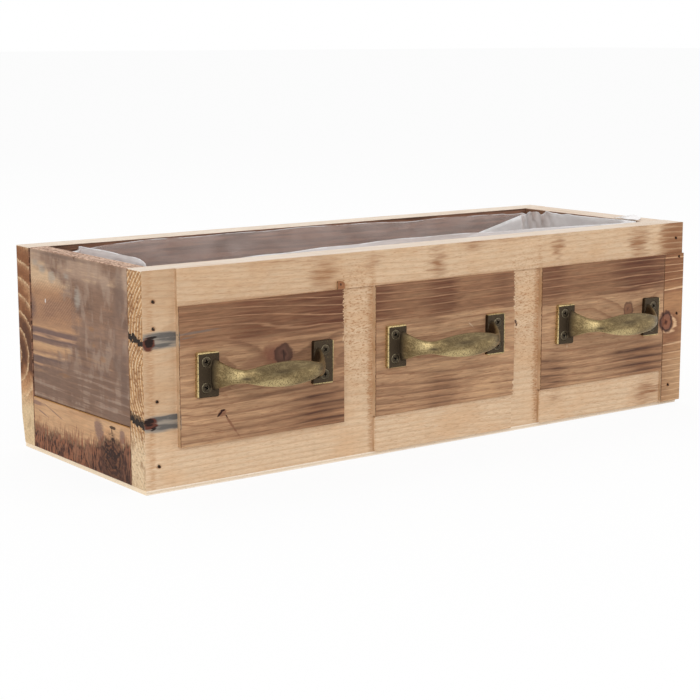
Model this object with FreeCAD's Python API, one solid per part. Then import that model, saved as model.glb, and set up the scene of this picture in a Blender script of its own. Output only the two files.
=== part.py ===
import FreeCAD, Part
import math
import os
from FreeCAD import Placement, Rotation, Vector

# Herb planter: a nailed board box whose front is routed into three raised mock drawers,
# each with a cast pull, and a film liner inside. All lengths are in millimetres.
# The origin is the centre of the underside, +X runs to the right along the front,
# -Y points out of the front and +Z is up.

# The box
box_length = 508.0
box_depth = 188.0
wall_height = 148.0
edge_ease = 0.4
joint_gap = 0.3
overrun = 2.0

# The boards
front_thickness = 24.0
back_thickness = 20.3
left_upper_thickness = 13.7
left_lower_thickness = 14.5
right_upper_thickness = 22.5
right_lower_thickness = 24.0
end_seam_height = 37.9
end_seam_rise = 1.9
wane_depth = 4.0
wane_height = 22.0

# The sheet that closes the box below
bottom_thickness = 3.0
bottom_front_setback = 4.5
bottom_back_setback = 4.0
bottom_side_setback = 0.5

# The routed frame round the raised panels
left_stile = 25.4
middle_stile = 28.65
right_stile = 22.8
top_rail = 25.3
bottom_rail = 26.8
panel_width_shares = (0.3366, 0.3300, 0.3334)
stile_depth = 4.4
rail_depth = 2.3
cutter_radius = 2.8
score_width = 0.8
score_depth = 0.7
tongue_width = 5.2
tongue_height = 5.9
tongue_lap = 1.2
tongue_round = 3.6
nick_width = 2.6
nick_height = 3.0
nick_depth = 2.2
nick_place_share = 0.527

# The cast pulls
pull_length = 112.3
plate_width = 17.2
plate_height = 31.0
plate_thickness = 3.2
plate_corner = 1.3
plate_round = 0.8
root_inset = 13.6
grip_reach = 26.6
grip_height = 17.4
grip_thickness = 6.6
root_sink = 1.6
section_power = 2.35
section_points = 16
# Each row is a station of the arm: how far out from the middle it lies, its rise from the plate
# to the grip, its height and its thickness, as shares of the root's offset and the grip's sizes.
arm_shares = (
    (1.000, 0.000, 1.270, 1.080),
    (0.984, 0.125, 1.105, 0.920),
    (0.950, 0.285, 0.930, 0.820),
    (0.892, 0.470, 0.725, 0.760),
    (0.812, 0.650, 0.585, 0.750),
    (0.718, 0.798, 0.528, 0.780),
    (0.600, 0.900, 0.640, 0.850),
    (0.458, 0.953, 0.790, 0.930),
    (0.306, 0.979, 0.905, 0.980),
    (0.152, 0.996, 0.977, 1.000),
    (0.000, 1.000, 1.000, 1.000),
)
# Each pull's place, right and up from its panel's centre, and how far its right end droops.
pull_shift_x = (0.2, -1.9, 3.3)
pull_shift_z = (-0.7, 2.1, 0.5)
pull_droop_deg = (1.2, 0.4, 1.9)

# The countersunk screws of the pulls
screw_edge = 7.1
screw_spacing = 17.6
screw_length = 16.0
screw_radius = 1.7
screw_tip = 3.0
screw_head_radius = 3.6
screw_dome = 0.45
screw_clearance = 0.2
sink_radius = 4.0
recess_span = 4.0
recess_width = 0.9
recess_depth = 1.7
recess_floor_share = 0.35
recess_turns_deg = (12.0, 64.0, 38.0, 81.0)

# The brads that nail the box together
brad_radius = 0.65
brad_length = 36.0
brad_tip = 2.5
brad_head_radius = 1.0
brad_head_height = 0.9
brad_sink = 1.1
brad_clearance = 0.15
# Each row is a brad: its place across the end board's thickness and up the wall.
left_brad_shares = ((0.540, 0.859), (0.527, 0.737), (0.664, 0.404), (0.715, 0.106))
right_brad_shares = ((0.290, 0.916), (0.200, 0.814), (0.240, 0.495), (0.610, 0.095))
bottom_brad_length = 18.0
bottom_brad_shares = (0.07, 0.36, 0.64, 0.93)
bottom_end_shares = (0.30, 0.70)

# The film liner
film_thickness = 0.2
liner_gap = 0.3
liner_drop = 2.0

# Faces of the box
left_x = -box_length / 2
right_x = box_length / 2
front_y = -box_depth / 2
back_y = box_depth / 2
base_z = bottom_thickness
top_z = base_z + wall_height
front_inner_y = front_y + front_thickness
back_inner_y = back_y - back_thickness
left_inner_x = left_x + left_lower_thickness
right_inner_x = right_x - right_lower_thickness
panel_top_z = top_z - top_rail
panel_bottom_z = base_z + bottom_rail


def panel_spans():
    """Left and right sides of the three panels."""
    room = box_length - left_stile - right_stile - 2 * middle_stile
    spans = []
    start = left_x + left_stile
    for share in panel_width_shares:
        spans.append((start, start + room * share))
        start = start + room * share + middle_stile
    return spans


def block(x0, x1, y0, y1, z0, z1):
    """A box between opposite corners."""
    return Part.makeBox(x1 - x0, y1 - y0, z1 - z0, Vector(x0, y0, z0))


def eased(solid):
    """A board whose sharp edges are just broken."""
    return solid.makeChamfer(edge_ease, solid.Edges)


def extruded(points, direction):
    """A prism on a closed outline."""
    outline = Part.makePolygon([Vector(*point) for point in points + points[:1]])
    return Part.Face(outline).extrude(direction)


def turned(points):
    """A solid turned about Z from a half profile of radius and height."""
    outline = [Vector(radius, 0, height) for radius, height in points]
    profile = Part.Face(Part.makePolygon(outline + outline[:1]))
    return profile.revolve(Vector(0, 0, 0), Vector(0, 0, 1), 360)


def without(solid, tools):
    """The solid with every tool cut from it."""
    return solid.cut(Part.makeCompound(tools))


# Brads

def brad(length, sink):
    """One brad along -Z, its head sunk below a surface at zero."""
    end = -sink - length
    return turned([
        (0, -sink),
        (brad_head_radius, -sink),
        (brad_head_radius, -sink - brad_head_height),
        (brad_radius, -sink - brad_head_height),
        (brad_radius, end + brad_tip),
        (0, end),
    ])


def brad_hole(length, sink):
    """The pocket and bore that such a brad leaves."""
    pocket = brad_head_radius + brad_clearance
    bore = brad_radius + brad_clearance
    floor = -sink - brad_head_height - brad_clearance
    end = -sink - length - brad_clearance
    return turned([(0, overrun), (pocket, overrun), (pocket, floor), (bore, floor), (bore, end), (0, end)])


def placed(solid, place):
    """A copy of the solid at a placement."""
    copy = solid.copy()
    copy.Placement = place
    return copy


def end_span(side, upper):
    """Outer and inner X of an end board."""
    if side == "left":
        thickness = left_upper_thickness if upper else left_lower_thickness
        return left_inner_x - thickness, left_inner_x
    thickness = right_upper_thickness if upper else right_lower_thickness
    return right_inner_x + thickness, right_inner_x


def wall_depth_at(x, z):
    """How far the routed front lies behind the panels' face."""
    spans = panel_spans()
    if x < spans[0][0]:
        return stile_depth
    if z > panel_top_z:
        return rail_depth
    return 0


def brad_places(side, face):
    """Placements of the brads that hold one end to the front or back board."""
    shares = left_brad_shares if side == "left" else right_brad_shares
    places = []
    for across, up in shares:
        z = base_z + wall_height * up
        outer, inner = end_span(side, up * wall_height > end_seam_height)
        x = outer + (inner - outer) * across
        if face == "front":
            y = front_y + wall_depth_at(x, z)
            turn = Rotation(Vector(1, 0, 0), 90)
        else:
            y = back_y - wane_depth * max(0, 1 - (z - base_z) / wane_height)
            turn = Rotation(Vector(1, 0, 0), -90)
        places.append(Placement(Vector(x, y, z), turn))
    return places


def bottom_brad_places():
    """Placements of the brads that hold the bottom sheet to the walls."""
    turn = Rotation(Vector(1, 0, 0), 180)
    front_line = front_y + (stile_depth + front_thickness) / 2
    back_line = back_y - (wane_depth + back_thickness) / 2
    places = []
    for share in bottom_brad_shares:
        x = left_x + box_length * share
        places.append(Placement(Vector(x, front_line, 0), turn))
        places.append(Placement(Vector(x, back_line, 0), turn))
    for side in ("left", "right"):
        outer, inner = end_span(side, False)
        for share in bottom_end_shares:
            y = front_inner_y + (back_inner_y - front_inner_y) * share
            places.append(Placement(Vector((outer + inner) / 2, y, 0), turn))
    return places


def bottom_nail_holes():
    """The bores that the brads of the bottom sheet leave."""
    return [placed(brad_hole(bottom_brad_length, 0), place) for place in bottom_brad_places()]


def all_nail_holes():
    """Every bore that the brads leave, in one list."""
    holes = []
    for side in ("left", "right"):
        for face in ("front", "back"):
            holes += [placed(brad_hole(brad_length, brad_sink), place) for place in brad_places(side, face)]
    return holes + bottom_nail_holes()


# Pulls

def arm_stations():
    """The arm's stations from the left root to the right root: offset, reach, height and thickness."""
    offset = pull_length / 2 - root_inset
    rise = grip_reach - plate_thickness
    half = []
    for along, up, tall, thick in arm_shares:
        half.append((offset * along, plate_thickness + rise * up,
                     grip_height / 2 * tall, grip_thickness / 2 * thick))
    along, reach, tall, thick = half[0]
    half.insert(0, (along, plate_thickness - root_sink, tall, thick))
    left = [(-station[0],) + station[1:] for station in half]
    return left + half[-2::-1]


def signed_power(value):
    """Coordinate of a squared-off circle."""
    return math.copysign(abs(value) ** (2 / section_power), value)


def arm_section(station, before, after):
    """Closed outline of the arm, square to the line from the station before to the one after."""
    along, reach, tall, thick = station
    run = Vector(after[0] - before[0], 0, after[1] - before[1])
    run.normalize()
    points = []
    for index in range(section_points):
        angle = 2 * math.pi * index / section_points
        out = thick * signed_power(math.cos(angle))
        up = tall * signed_power(math.sin(angle))
        points.append(Vector(along - run.z * out, up, reach + run.x * out))
    curve = Part.BSplineCurve()
    curve.interpolate(points, PeriodicFlag=True)
    return Part.Wire(curve.toShape())


def arm():
    """The cast arm: two flared roots, two necks and the swelling grip."""
    stations = arm_stations()
    sections = []
    for index, station in enumerate(stations):
        before = stations[max(index - 1, 0)]
        after = stations[min(index + 1, len(stations) - 1)]
        sections.append(arm_section(station, before, after))
    return Part.makeLoft(sections, True, False)


def plate():
    """The left plate, with its outer end at -X and its back at zero height."""
    start = Vector(-pull_length / 2, -plate_height / 2, 0)
    solid = Part.makeBox(plate_width, plate_height, plate_thickness, start)
    upright = [edge for edge in solid.Edges if abs(edge.tangentAt(edge.FirstParameter).z) == 1]
    solid = solid.makeFillet(plate_corner, upright)
    face = max(solid.Faces, key=lambda side: side.CenterOfMass.z)
    return solid.makeFillet(plate_round, face.Edges)


def screw_spots():
    """Centres of a pull's four screws on its plates' faces."""
    along = pull_length / 2 - screw_edge
    up = screw_spacing / 2
    return [Vector(x, y, plate_thickness) for x in (-along, along) for y in (up, -up)]


def screw_bore():
    """A countersunk hole through the plate."""
    bore = screw_radius + screw_clearance
    end = -plate_thickness - overrun
    return turned([
        (0, overrun), (sink_radius, overrun), (sink_radius, 0),
        (bore, bore - sink_radius), (bore, end), (0, end),
    ])


def recess(top_z_local):
    """The cross-shaped driver recess, narrowing downwards."""
    half = recess_span / 2
    low = top_z_local - recess_depth
    high = top_z_local + overrun
    bars = block(-half, half, -recess_width / 2, recess_width / 2, low, high)
    bars = bars.fuse(block(-recess_width / 2, recess_width / 2, -half, half, low, high))
    taper = turned([(0, low), (half * recess_floor_share, low), (half, top_z_local), (half, high), (0, high)])
    return bars.common(taper)


def screw(recess_turn):
    """One countersunk screw along -Z; zero is the plate's face."""
    rim = screw_head_radius - sink_radius
    low = -screw_length
    shank = turned([
        (0, rim), (screw_head_radius, rim), (screw_radius, rim + screw_radius - screw_head_radius),
        (screw_radius, low + screw_tip), (0, low),
    ])
    ball_radius = (screw_head_radius ** 2 + screw_dome ** 2) / (2 * screw_dome)
    ball = Part.makeSphere(ball_radius, Vector(0, 0, rim + screw_dome - ball_radius))
    cap = ball.common(Part.makeCylinder(screw_head_radius, screw_dome, Vector(0, 0, rim)))
    cross = recess(rim + screw_dome)
    cross.rotate(Vector(0, 0, 0), Vector(0, 0, 1), recess_turn)
    return shank.fuse(cap).removeSplitter().cut(cross)


def pull():
    """The casting: two drilled plates joined by the arm."""
    left = plate()
    right = left.mirror(Vector(0, 0, 0), Vector(1, 0, 0))
    solid = left.fuse([right, arm()]).removeSplitter()
    bores = []
    for spot in screw_spots():
        bore = screw_bore()
        bore.translate(spot)
        bores.append(bore)
    return without(solid, bores)


def pull_place(index):
    """Placement of a pull on its panel."""
    start, end = panel_spans()[index]
    x = (start + end) / 2 + pull_shift_x[index]
    z = (panel_top_z + panel_bottom_z) / 2 + pull_shift_z[index]
    facing = Rotation(Vector(1, 0, 0), 90)
    droop = Rotation(Vector(0, 0, 1), -pull_droop_deg[index])
    return Placement(Vector(x, front_y, z), facing.multiply(droop))


def pull_screws(index):
    """The four screws of a pull, in place."""
    screws = []
    for spot, turn in zip(screw_spots(), recess_turns_deg):
        place = pull_place(index).multiply(Placement(spot, Rotation()))
        screws.append(placed(screw(turn), place))
    return screws


def pilot_holes():
    """The bores in the front board for every pull's screws."""
    radius = screw_radius + screw_clearance
    depth = screw_length - plate_thickness + screw_clearance
    holes = []
    for index in range(len(panel_width_shares)):
        for spot in screw_spots():
            bore = Part.makeCylinder(radius, depth + overrun, Vector(spot.x, spot.y, -depth))
            holes.append(placed(bore, pull_place(index)))
    return holes


# Boards

def routed(x0, x1, z0, z1, depth):
    """The wood that the router takes from the front board, down to a depth."""
    return block(x0, x1, front_y - overrun, front_y + depth, z0, z1)


def shoulder_corner(x, z, upward):
    """The rounded corner that the cutter leaves where a shallow rail meets a deep stile."""
    z0, z1 = (z - cutter_radius, z) if upward else (z, z + cutter_radius)
    corner = routed(x, x + cutter_radius, z0, z1, stile_depth)
    centre_z = z0 if upward else z1
    start = Vector(x + cutter_radius, front_y - overrun, centre_z)
    kept = Part.makeCylinder(cutter_radius, stile_depth + 2 * overrun, start, Vector(0, 1, 0))
    return corner.cut(kept)


def routing():
    """All the cuts of the frame and the scored line beside the right stile."""
    spans = panel_spans()
    low, high = base_z - overrun, top_z + overrun
    cuts = [
        routed(left_x - overrun, spans[0][0], low, high, stile_depth),
        routed(left_x - overrun, spans[0][1], low, panel_bottom_z, stile_depth),
        routed(spans[0][0], right_x + overrun, panel_top_z, high, rail_depth),
    ]
    for index in (0, 1):
        end, start = spans[index][1], spans[index + 1][0]
        cuts.append(routed(end, start, low, panel_top_z, stile_depth))
        cuts.append(routed(start, spans[index + 1][1], low, panel_bottom_z, rail_depth))
        cuts.append(shoulder_corner(start, panel_bottom_z, True))
        cuts.append(shoulder_corner(start, base_z, False))
    score_x = spans[2][1]
    cuts.append(routed(score_x, score_x + score_width, low, panel_top_z + overrun, score_depth))
    return cuts


def tongue():
    """The stub of raised wood left above the first panel's right corner."""
    x1 = panel_spans()[0][1] + tongue_lap
    x0 = x1 - tongue_width - tongue_lap
    solid = block(x0, x1, front_y, front_y + stile_depth + edge_ease, panel_top_z, panel_top_z + tongue_height)
    corner = [
        edge for edge in solid.Edges
        if edge.BoundBox.XMin == edge.BoundBox.XMax == solid.BoundBox.XMax
        and edge.BoundBox.ZMin == edge.BoundBox.ZMax == solid.BoundBox.ZMax
    ]
    return solid.makeFillet(tongue_round, corner)


def front_board():
    """The front board with its routed frame, pilot holes and brad holes."""
    board = eased(block(left_x, right_x, front_y, front_inner_y, base_z, top_z))
    board = without(board, routing()).fuse(tongue()).removeSplitter()
    return without(board, pilot_holes() + all_nail_holes())


def back_board():
    """The back board, whose lower outer edge is waney."""
    board = extruded([
        (left_x, back_inner_y, base_z),
        (left_x, back_y - wane_depth, base_z),
        (left_x, back_y, base_z + wane_height),
        (left_x, back_y, top_z),
        (left_x, back_inner_y, top_z),
    ], Vector(box_length, 0, 0))
    return without(eased(board), all_nail_holes())


def end_board(side, upper):
    """One of the two boards, edge to edge, of an end."""
    outer, inner = end_span(side, upper)
    front = front_inner_y + joint_gap
    back = back_inner_y - joint_gap
    seam_back = base_z + end_seam_height
    seam_front = seam_back + end_seam_rise
    if upper:
        outline = [(outer, front, seam_front + joint_gap), (outer, back, seam_back + joint_gap),
                   (outer, back, top_z), (outer, front, top_z)]
    else:
        outline = [(outer, front, base_z), (outer, back, base_z),
                   (outer, back, seam_back), (outer, front, seam_front)]
    board = eased(extruded(outline, Vector(inner - outer, 0, 0)))
    tools = all_nail_holes()
    if side == "left" and upper:
        tools.append(nick(outer))
    return without(board, tools)


def nick(outer):
    """The chip out of the left end's upper edge."""
    middle = front_inner_y + (back_inner_y - front_inner_y) * nick_place_share
    return extruded([
        (outer - overrun, middle - nick_width / 2, top_z + overrun),
        (outer - overrun, middle + nick_width / 2, top_z + overrun),
        (outer - overrun, middle + nick_width / 2, top_z - nick_height / 2),
        (outer - overrun, middle - nick_width / 2, top_z - nick_height),
    ], Vector(nick_depth + overrun, 0, 0))


def bottom_panel():
    """The thin sheet under the walls."""
    sheet = block(left_x + bottom_side_setback, right_x - bottom_side_setback,
                  front_y + bottom_front_setback, back_y - bottom_back_setback, 0, bottom_thickness)
    return without(sheet, bottom_nail_holes())


def film_liner():
    """The film tray that keeps the soil off the wood."""
    x0, x1 = left_inner_x + liner_gap, right_inner_x - liner_gap
    y0, y1 = front_inner_y + liner_gap, back_inner_y - liner_gap
    z0, z1 = base_z + liner_gap, top_z - liner_drop
    skin = film_thickness
    inside = block(x0 + skin, x1 - skin, y0 + skin, y1 - skin, z0 + skin, z1 + overrun)
    return block(x0, x1, y0, y1, z0, z1).cut(inside)


def write(name, shape):
    """One sub-part's file, after a check that it is sound."""
    print(f"{name}: {len(shape.Solids)} solids, valid {shape.isValid()}, {shape.Volume / 1000:.2f} cm3")
    shape.exportStep(f"parts/{name}.step")


def main():
    os.makedirs("parts", exist_ok=True)
    write("front_board", front_board())
    write("back_board", back_board())
    for side in ("left", "right"):
        write(f"{side}_end_upper_board", end_board(side, True))
        write(f"{side}_end_lower_board", end_board(side, False))
    write("bottom_panel", bottom_panel())
    write("film_liner", film_liner())
    for index, name in enumerate(("left", "middle", "right")):
        write(f"{name}_pull", placed(pull(), pull_place(index)))
        write(f"{name}_pull_screws", Part.makeCompound(pull_screws(index)))
    for side in ("left", "right"):
        for face in ("front", "back"):
            brads = [placed(brad(brad_length, brad_sink), place) for place in brad_places(side, face)]
            write(f"{face}_{side}_brads", Part.makeCompound(brads))
    brads = [placed(brad(bottom_brad_length, 0), place) for place in bottom_brad_places()]
    write("bottom_brads", Part.makeCompound(brads))


main()
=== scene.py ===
import math
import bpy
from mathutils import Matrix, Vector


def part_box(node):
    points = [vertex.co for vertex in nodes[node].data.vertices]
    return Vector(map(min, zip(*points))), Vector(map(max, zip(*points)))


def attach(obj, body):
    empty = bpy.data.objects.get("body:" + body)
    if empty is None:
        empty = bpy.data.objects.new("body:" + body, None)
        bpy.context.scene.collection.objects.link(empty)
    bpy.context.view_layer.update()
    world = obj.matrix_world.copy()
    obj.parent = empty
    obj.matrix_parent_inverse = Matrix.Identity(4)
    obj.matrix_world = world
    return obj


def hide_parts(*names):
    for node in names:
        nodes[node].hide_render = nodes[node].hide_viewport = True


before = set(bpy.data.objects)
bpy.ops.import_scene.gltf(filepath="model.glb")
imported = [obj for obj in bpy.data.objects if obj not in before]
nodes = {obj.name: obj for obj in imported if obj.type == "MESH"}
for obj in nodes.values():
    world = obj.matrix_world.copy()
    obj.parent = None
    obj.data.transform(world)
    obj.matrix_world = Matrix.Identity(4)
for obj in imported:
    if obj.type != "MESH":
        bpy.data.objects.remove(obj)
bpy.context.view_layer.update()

from types import SimpleNamespace
import bpy
import numpy as np
from mathutils import Vector

# Herb planter: the looks of the board box, its three pulls and the film liner
millimetre = 0.001
farAcross = 1e6    # a pattern stretched this far doesn't change in that direction
waveUnit = 0.314    # a wave texture of scale waveUnit / P repeats every P
rimHeight = 150.0    # what looks up from above this height is the box's rim
pullSides = ("left", "middle", "right")


# sRGB hex to a linear colour
def linear(hexColour, alpha=1.0):
    channels = [int(hexColour[i:i + 2], 16) / 255 for i in (1, 3, 5)]
    return [c / 12.92 if c <= 0.04045 else ((c + 0.055) / 1.055) ** 2.4 for c in channels] + [alpha]


# one shader node with its settings and links
# a socket is linked, a hex colour is turned linear, and any other value is set as it is
def addNode(tree, kind, inputs={}, out=0, **settings):
    node = tree.nodes.new("ShaderNode" + kind)
    stops = settings.pop("stops", None)
    for name, value in settings.items():
        setattr(node, name, value)
    if stops:
        ramp = node.color_ramp.elements
        while len(ramp) < len(stops):
            ramp.new(0.5)
        for element, (position, colour) in zip(ramp, sorted(stops)):
            element.position = position
            element.color = linear(colour) if isinstance(colour, str) else (*colour, 1.0)[:4]
    for key, value in inputs.items():
        if isinstance(value, bpy.types.NodeSocket):
            tree.links.new(value, node.inputs[key])
        else:
            node.inputs[key].default_value = linear(value) if isinstance(value, str) else value
    return node.outputs[out] if node.outputs else node


def newMaterial(name):
    material = bpy.data.materials.new(name)
    material.use_nodes = True
    material.node_tree.nodes.clear()
    return material


# the point in millimetres
def inMillimetres(tree):
    point = addNode(tree, "TexCoord", out=3)
    return addNode(tree, "VectorMath", {0: point, "Scale": 1 / millimetre}, operation="SCALE")


# several values joined in a row by one operation
def combine(tree, operation, first, *others):
    for value in others:
        first = addNode(tree, "Math", {0: first, 1: value}, operation=operation)
    return first


def product(tree, *values):
    return combine(tree, "MULTIPLY", *values)


def inverse(tree, mask):
    return combine(tree, "SUBTRACT", 1.0, mask)


# a value pushed about by others, each times its amount
def pushed(tree, value, *pushes):
    for push, amount in pushes:
        value = addNode(tree, "Math", {0: push, 1: amount, 2: value}, operation="MULTIPLY_ADD")
    return value


# 1 where the value is less than the limit away from the middle, on either side
def within(tree, value, middle, limit):
    away = addNode(tree, "Math", {0: combine(tree, "SUBTRACT", value, middle)}, operation="ABSOLUTE")
    return combine(tree, "LESS_THAN", away, limit)


# a mask that rises smoothly as the value goes from low to high
def rise(tree, value, low, high, most=1.0):
    return addNode(tree, "MapRange", {"Value": value, "From Min": low, "From Max": high, "To Max": most},
                   interpolation_type="SMOOTHSTEP")


# the usual span of a noise, 0.3 to 0.7, spread out from low to high
def spread(tree, noise, low, high):
    return addNode(tree, "MapRange", {"Value": noise, "From Min": 0.3, "From Max": 0.7,
                                      "To Min": low, "To Max": high})


# coats of colour laid over one another, each where its mask is
def coats(tree, colour, *layers):
    for mask, coat in layers:
        colour = addNode(tree, "Mix", {0: mask, 6: colour, 7: coat}, out=2, data_type="RGBA")
    return colour


# noise stretched to a patch size in millimetres: along the grain, through the board, up
def patches(tree, place, size, detail=2.0, out=0):
    scaled = addNode(tree, "VectorMath", {0: place, 1: [1 / s for s in size]}, operation="MULTIPLY")
    return addNode(tree, "TexNoise", {"Vector": scaled, "Scale": 1.0, "Detail": detail}, out=out)


# a mask of flecks, where such a noise goes from low to high
def flecks(tree, place, size, detail, low, high, most=1.0):
    return rise(tree, patches(tree, place, size, detail), low, high, most)


# the place pushed about by such a noise, by half the reach either way
def shaken(tree, place, size, detail, reach):
    shake = patches(tree, place, size, detail, out=1)
    shake = addNode(tree, "VectorMath", {0: shake, 1: (0.5, 0.5, 0.5)}, operation="SUBTRACT")
    return addNode(tree, "VectorMath", {0: shake, 1: reach, 2: place}, operation="MULTIPLY_ADD")


# soft ellipses on a face, added up
# each is: along, up, half length, half height, tilt in degrees, strength
def softSpots(tree, place, spots):
    total = 0.0
    for along, up, halfLong, halfHigh, tilt, strength in spots:
        local = addNode(tree, "Mapping", {
            "Vector": place, "Location": (along, 0, up), "Rotation": (0, math.radians(-tilt), 0),
            "Scale": (halfLong, farAcross, halfHigh)}, vector_type="TEXTURE")
        ball = addNode(tree, "TexGradient", {"Vector": local}, out=1, gradient_type="SPHERICAL")
        total = pushed(tree, total, (ball, strength))
    return total


# over one ring, from its start to its end: how dark the late wood is, and where its thin hard line lies
lateProfile = ((0.0, 0.10), (0.30, 0.0), (0.60, 0.22), (0.84, 0.9), (0.93, 1.0), (1.0, 0.10))
lineProfile = ((0.0, 0.0), (0.80, 0.0), (0.88, 1.0), (0.94, 1.0), (1.0, 0.0))


# Softwood: growth rings are circles round a pith line that runs along the board, so a face shows
# stripes and an end shows arcs. ringWidth is the real spacing of the rings in millimetres.
def startWood(name, look):
    material = newMaterial(name)
    tree = material.node_tree
    place = inMillimetres(tree)
    normal = addNode(tree, "NewGeometry", out=3)
    if look["grain"] == "Y":    # from here on the grain runs along the first axis
        quarter = (0, 0, math.radians(-90))
        place = addNode(tree, "Mapping", {"Vector": place, "Rotation": quarter})
        normal = addNode(tree, "Mapping", {"Vector": normal, "Rotation": quarter}, vector_type="VECTOR")
    wood = SimpleNamespace(material=material, tree=tree, place=place, look=look)
    wood.along, wood.depth, wood.up = addNode(tree, "SeparateXYZ", {0: place}).node.outputs[:]
    facing = addNode(tree, "SeparateXYZ", {0: normal}).node
    wood.facingAlong, wood.facingDepth, wood.facingUp = facing.outputs[:]
    wood.fibre = patches(tree, place, (10, 1.2, 1.2), 5)
    wood.streak = patches(tree, place, (60, 2.6, 2.6), 4)
    wood.cloud = patches(tree, place, (38, 30, 24), 3)

    bent = shaken(tree, place, look["wanderSize"], 2, (0, look["wander"], look["wander"]))
    fromPith = addNode(tree, "Mapping", {
        "Vector": bent, "Location": (0, *look["pith"]), "Rotation": (0, math.radians(look["rise"]), 0),
        "Scale": (farAcross, 1, 1)}, vector_type="TEXTURE")
    radius = addNode(tree, "VectorMath", {0: fromPith}, out=1, operation="LENGTH")
    if "ringPush" in look:    # the rings swell round a knot
        radius = combine(tree, "ADD", radius, softSpots(tree, place, look["ringPush"]))
    turns = pushed(tree, 0.0, (radius, 1 / look["ringWidth"]), (wood.streak, 0.35))
    ring = addNode(tree, "Math", {0: turns}, operation="FRACT")
    wood.late, wood.line = [
        addNode(tree, "ValToRGB", {0: ring}, stops=[(share, [value] * 3) for share, value in profile])
        for profile in (lateProfile, lineProfile)]
    return wood


# darkened cross bands: each stop says where along the board, and how dark above, below and between
def scorching(wood):
    tree, look = wood.tree, wood.look
    low, high = look["scorchEnds"]
    fibreReach, streakReach, heightReach = 12.0, 16.0, 10.0
    middle = (fibreReach + streakReach) / 2    # what the two noises add on average
    ragged = pushed(tree, wood.along, (wood.fibre, fibreReach), (wood.streak, streakReach))
    share = addNode(tree, "MapRange", {"Value": ragged, "From Min": low + middle, "From Max": high + middle})
    amounts = addNode(tree, "ValToRGB", {0: share}, stops=[
        ((x - low) / (high - low), levels) for x, *levels in look["scorch"]])
    upper, lower, between = addNode(tree, "SeparateColor", {0: amounts}).node.outputs[:]
    height = pushed(tree, wood.up, (wood.streak, heightReach))
    floor0, floor1, roof0, roof1 = [level + heightReach / 2 for level in look["scorchHeights"]]
    above = rise(tree, height, roof0, roof1)
    below = inverse(tree, rise(tree, height, floor0, floor1))
    amount = addNode(tree, "Mix", {0: above, 2: between, 3: upper})
    amount = addNode(tree, "Mix", {0: below, 2: amount, 3: lower})
    uneven = spread(tree, wood.streak, 0.72, 1.22)
    return addNode(tree, "Math", {0: amount, 1: uneven}, operation="MULTIPLY", use_clamp=True)


# places in millimetres where brads of a node end at the face: along, up
def bradPlaces(name, axis):
    mesh = nodes[name].data
    points = np.empty(len(mesh.vertices) * 3)
    mesh.vertices.foreach_get("co", points)
    points = points.reshape(-1, 3) / millimetre
    points = points[np.argsort(points[:, 2])]
    groups = np.split(points, np.where(np.diff(points[:, 2]) > 5)[0] + 1)
    return [(group[:, axis].mean(), group[:, 2].mean()) for group in groups]


# light and dark of single fibres, or of another noise
def fibreTone(wood, colour, share=0.16, noise=None):
    tone = spread(wood.tree, noise or wood.fibre, 1 - share, 1 + share)
    return addNode(wood.tree, "HueSaturation", {"Value": tone, "Color": colour})


# the old face of a board: brown bands of late wood below, greyer and plainer wood above, and a drift of tint
# where it is scorched, the late bands go nearly black below, and above only thin pale lines stay
def oldFace(wood, scorch):
    tree, look = wood.tree, wood.look
    colours = look["old"]
    above = rise(tree, wood.up, *look["scorchHeights"][2:])
    band = addNode(tree, "MapRange", {"Value": wood.streak, "From Min": 0.40, "From Max": 0.60,
                                      "To Max": 0.55})
    band = combine(tree, "MAXIMUM", band, wood.late)
    darkLow = coats(tree, colours["warm"], (band, colours["dark"]))
    darkHigh = coats(tree, colours["darkHigh"], (product(tree, wood.line, 0.65), colours["paleLine"]))
    face = coats(tree, colours["low"],
                 (above, colours["high"]),
                 (rise(tree, wood.cloud, 0.42, 0.66, colours["tintShare"]), colours["tint"]),
                 (product(tree, band, 0.58), colours["late"]),
                 (flecks(tree, wood.place, (7, 1.2, 1.0), 3, 0.58, 0.68, 0.5), colours["warm"]),
                 (scorch, coats(tree, darkLow, (above, darkHigh))))
    return fibreTone(wood, face, 0.15, patches(tree, wood.place, (22, 0.8, 0.6), 2))


# the sawn end: arcs of late wood, pale low down, torn to lines and pits, and burnt where the look says so
def sawnEnd(wood, end):
    tree, place, up, late = wood.tree, wood.place, wood.up, wood.late
    arcs = coats(tree, end["early"], (late, end["late"]), (rise(tree, up, 46, 26, 0.75), end["low"]))
    if "burnt" in end:
        burn = product(tree, rise(tree, up, *end["burntFrom"]), rise(tree, wood.cloud, 0.2, 0.45, 0.95),
                       inverse(tree, product(tree, late, 0.5)))
        deep = product(tree, rise(tree, up, *end["deepFrom"]), inverse(tree, rise(tree, up, *end["deepTo"])),
                       rise(tree, wood.cloud, 0.36, 0.54, 0.9), inverse(tree, product(tree, late, 0.95)))
        arcs = coats(tree, arcs, (burn, end["burnt"]), (deep, end["deep"]))
    torn = flecks(tree, place, (5, 2.5, 2.5), 3, 0.42, 0.56)
    pits = flecks(tree, place, (3, 2.6, 1.5), 5, 0.48, 0.66, end["pitShare"])
    pits = product(tree, pits, inverse(tree, rise(tree, up, 46, 26, 0.55)))
    smudge = flecks(tree, place, (7, 7, 12), 3, 0.52, 0.70, end["pitShare"] * 0.7)
    return coats(tree, arcs, (product(tree, wood.line, torn, end["lineShare"]), end["line"]),
                 (pits, end["pit"]), (smudge, end["pit"]))


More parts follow.
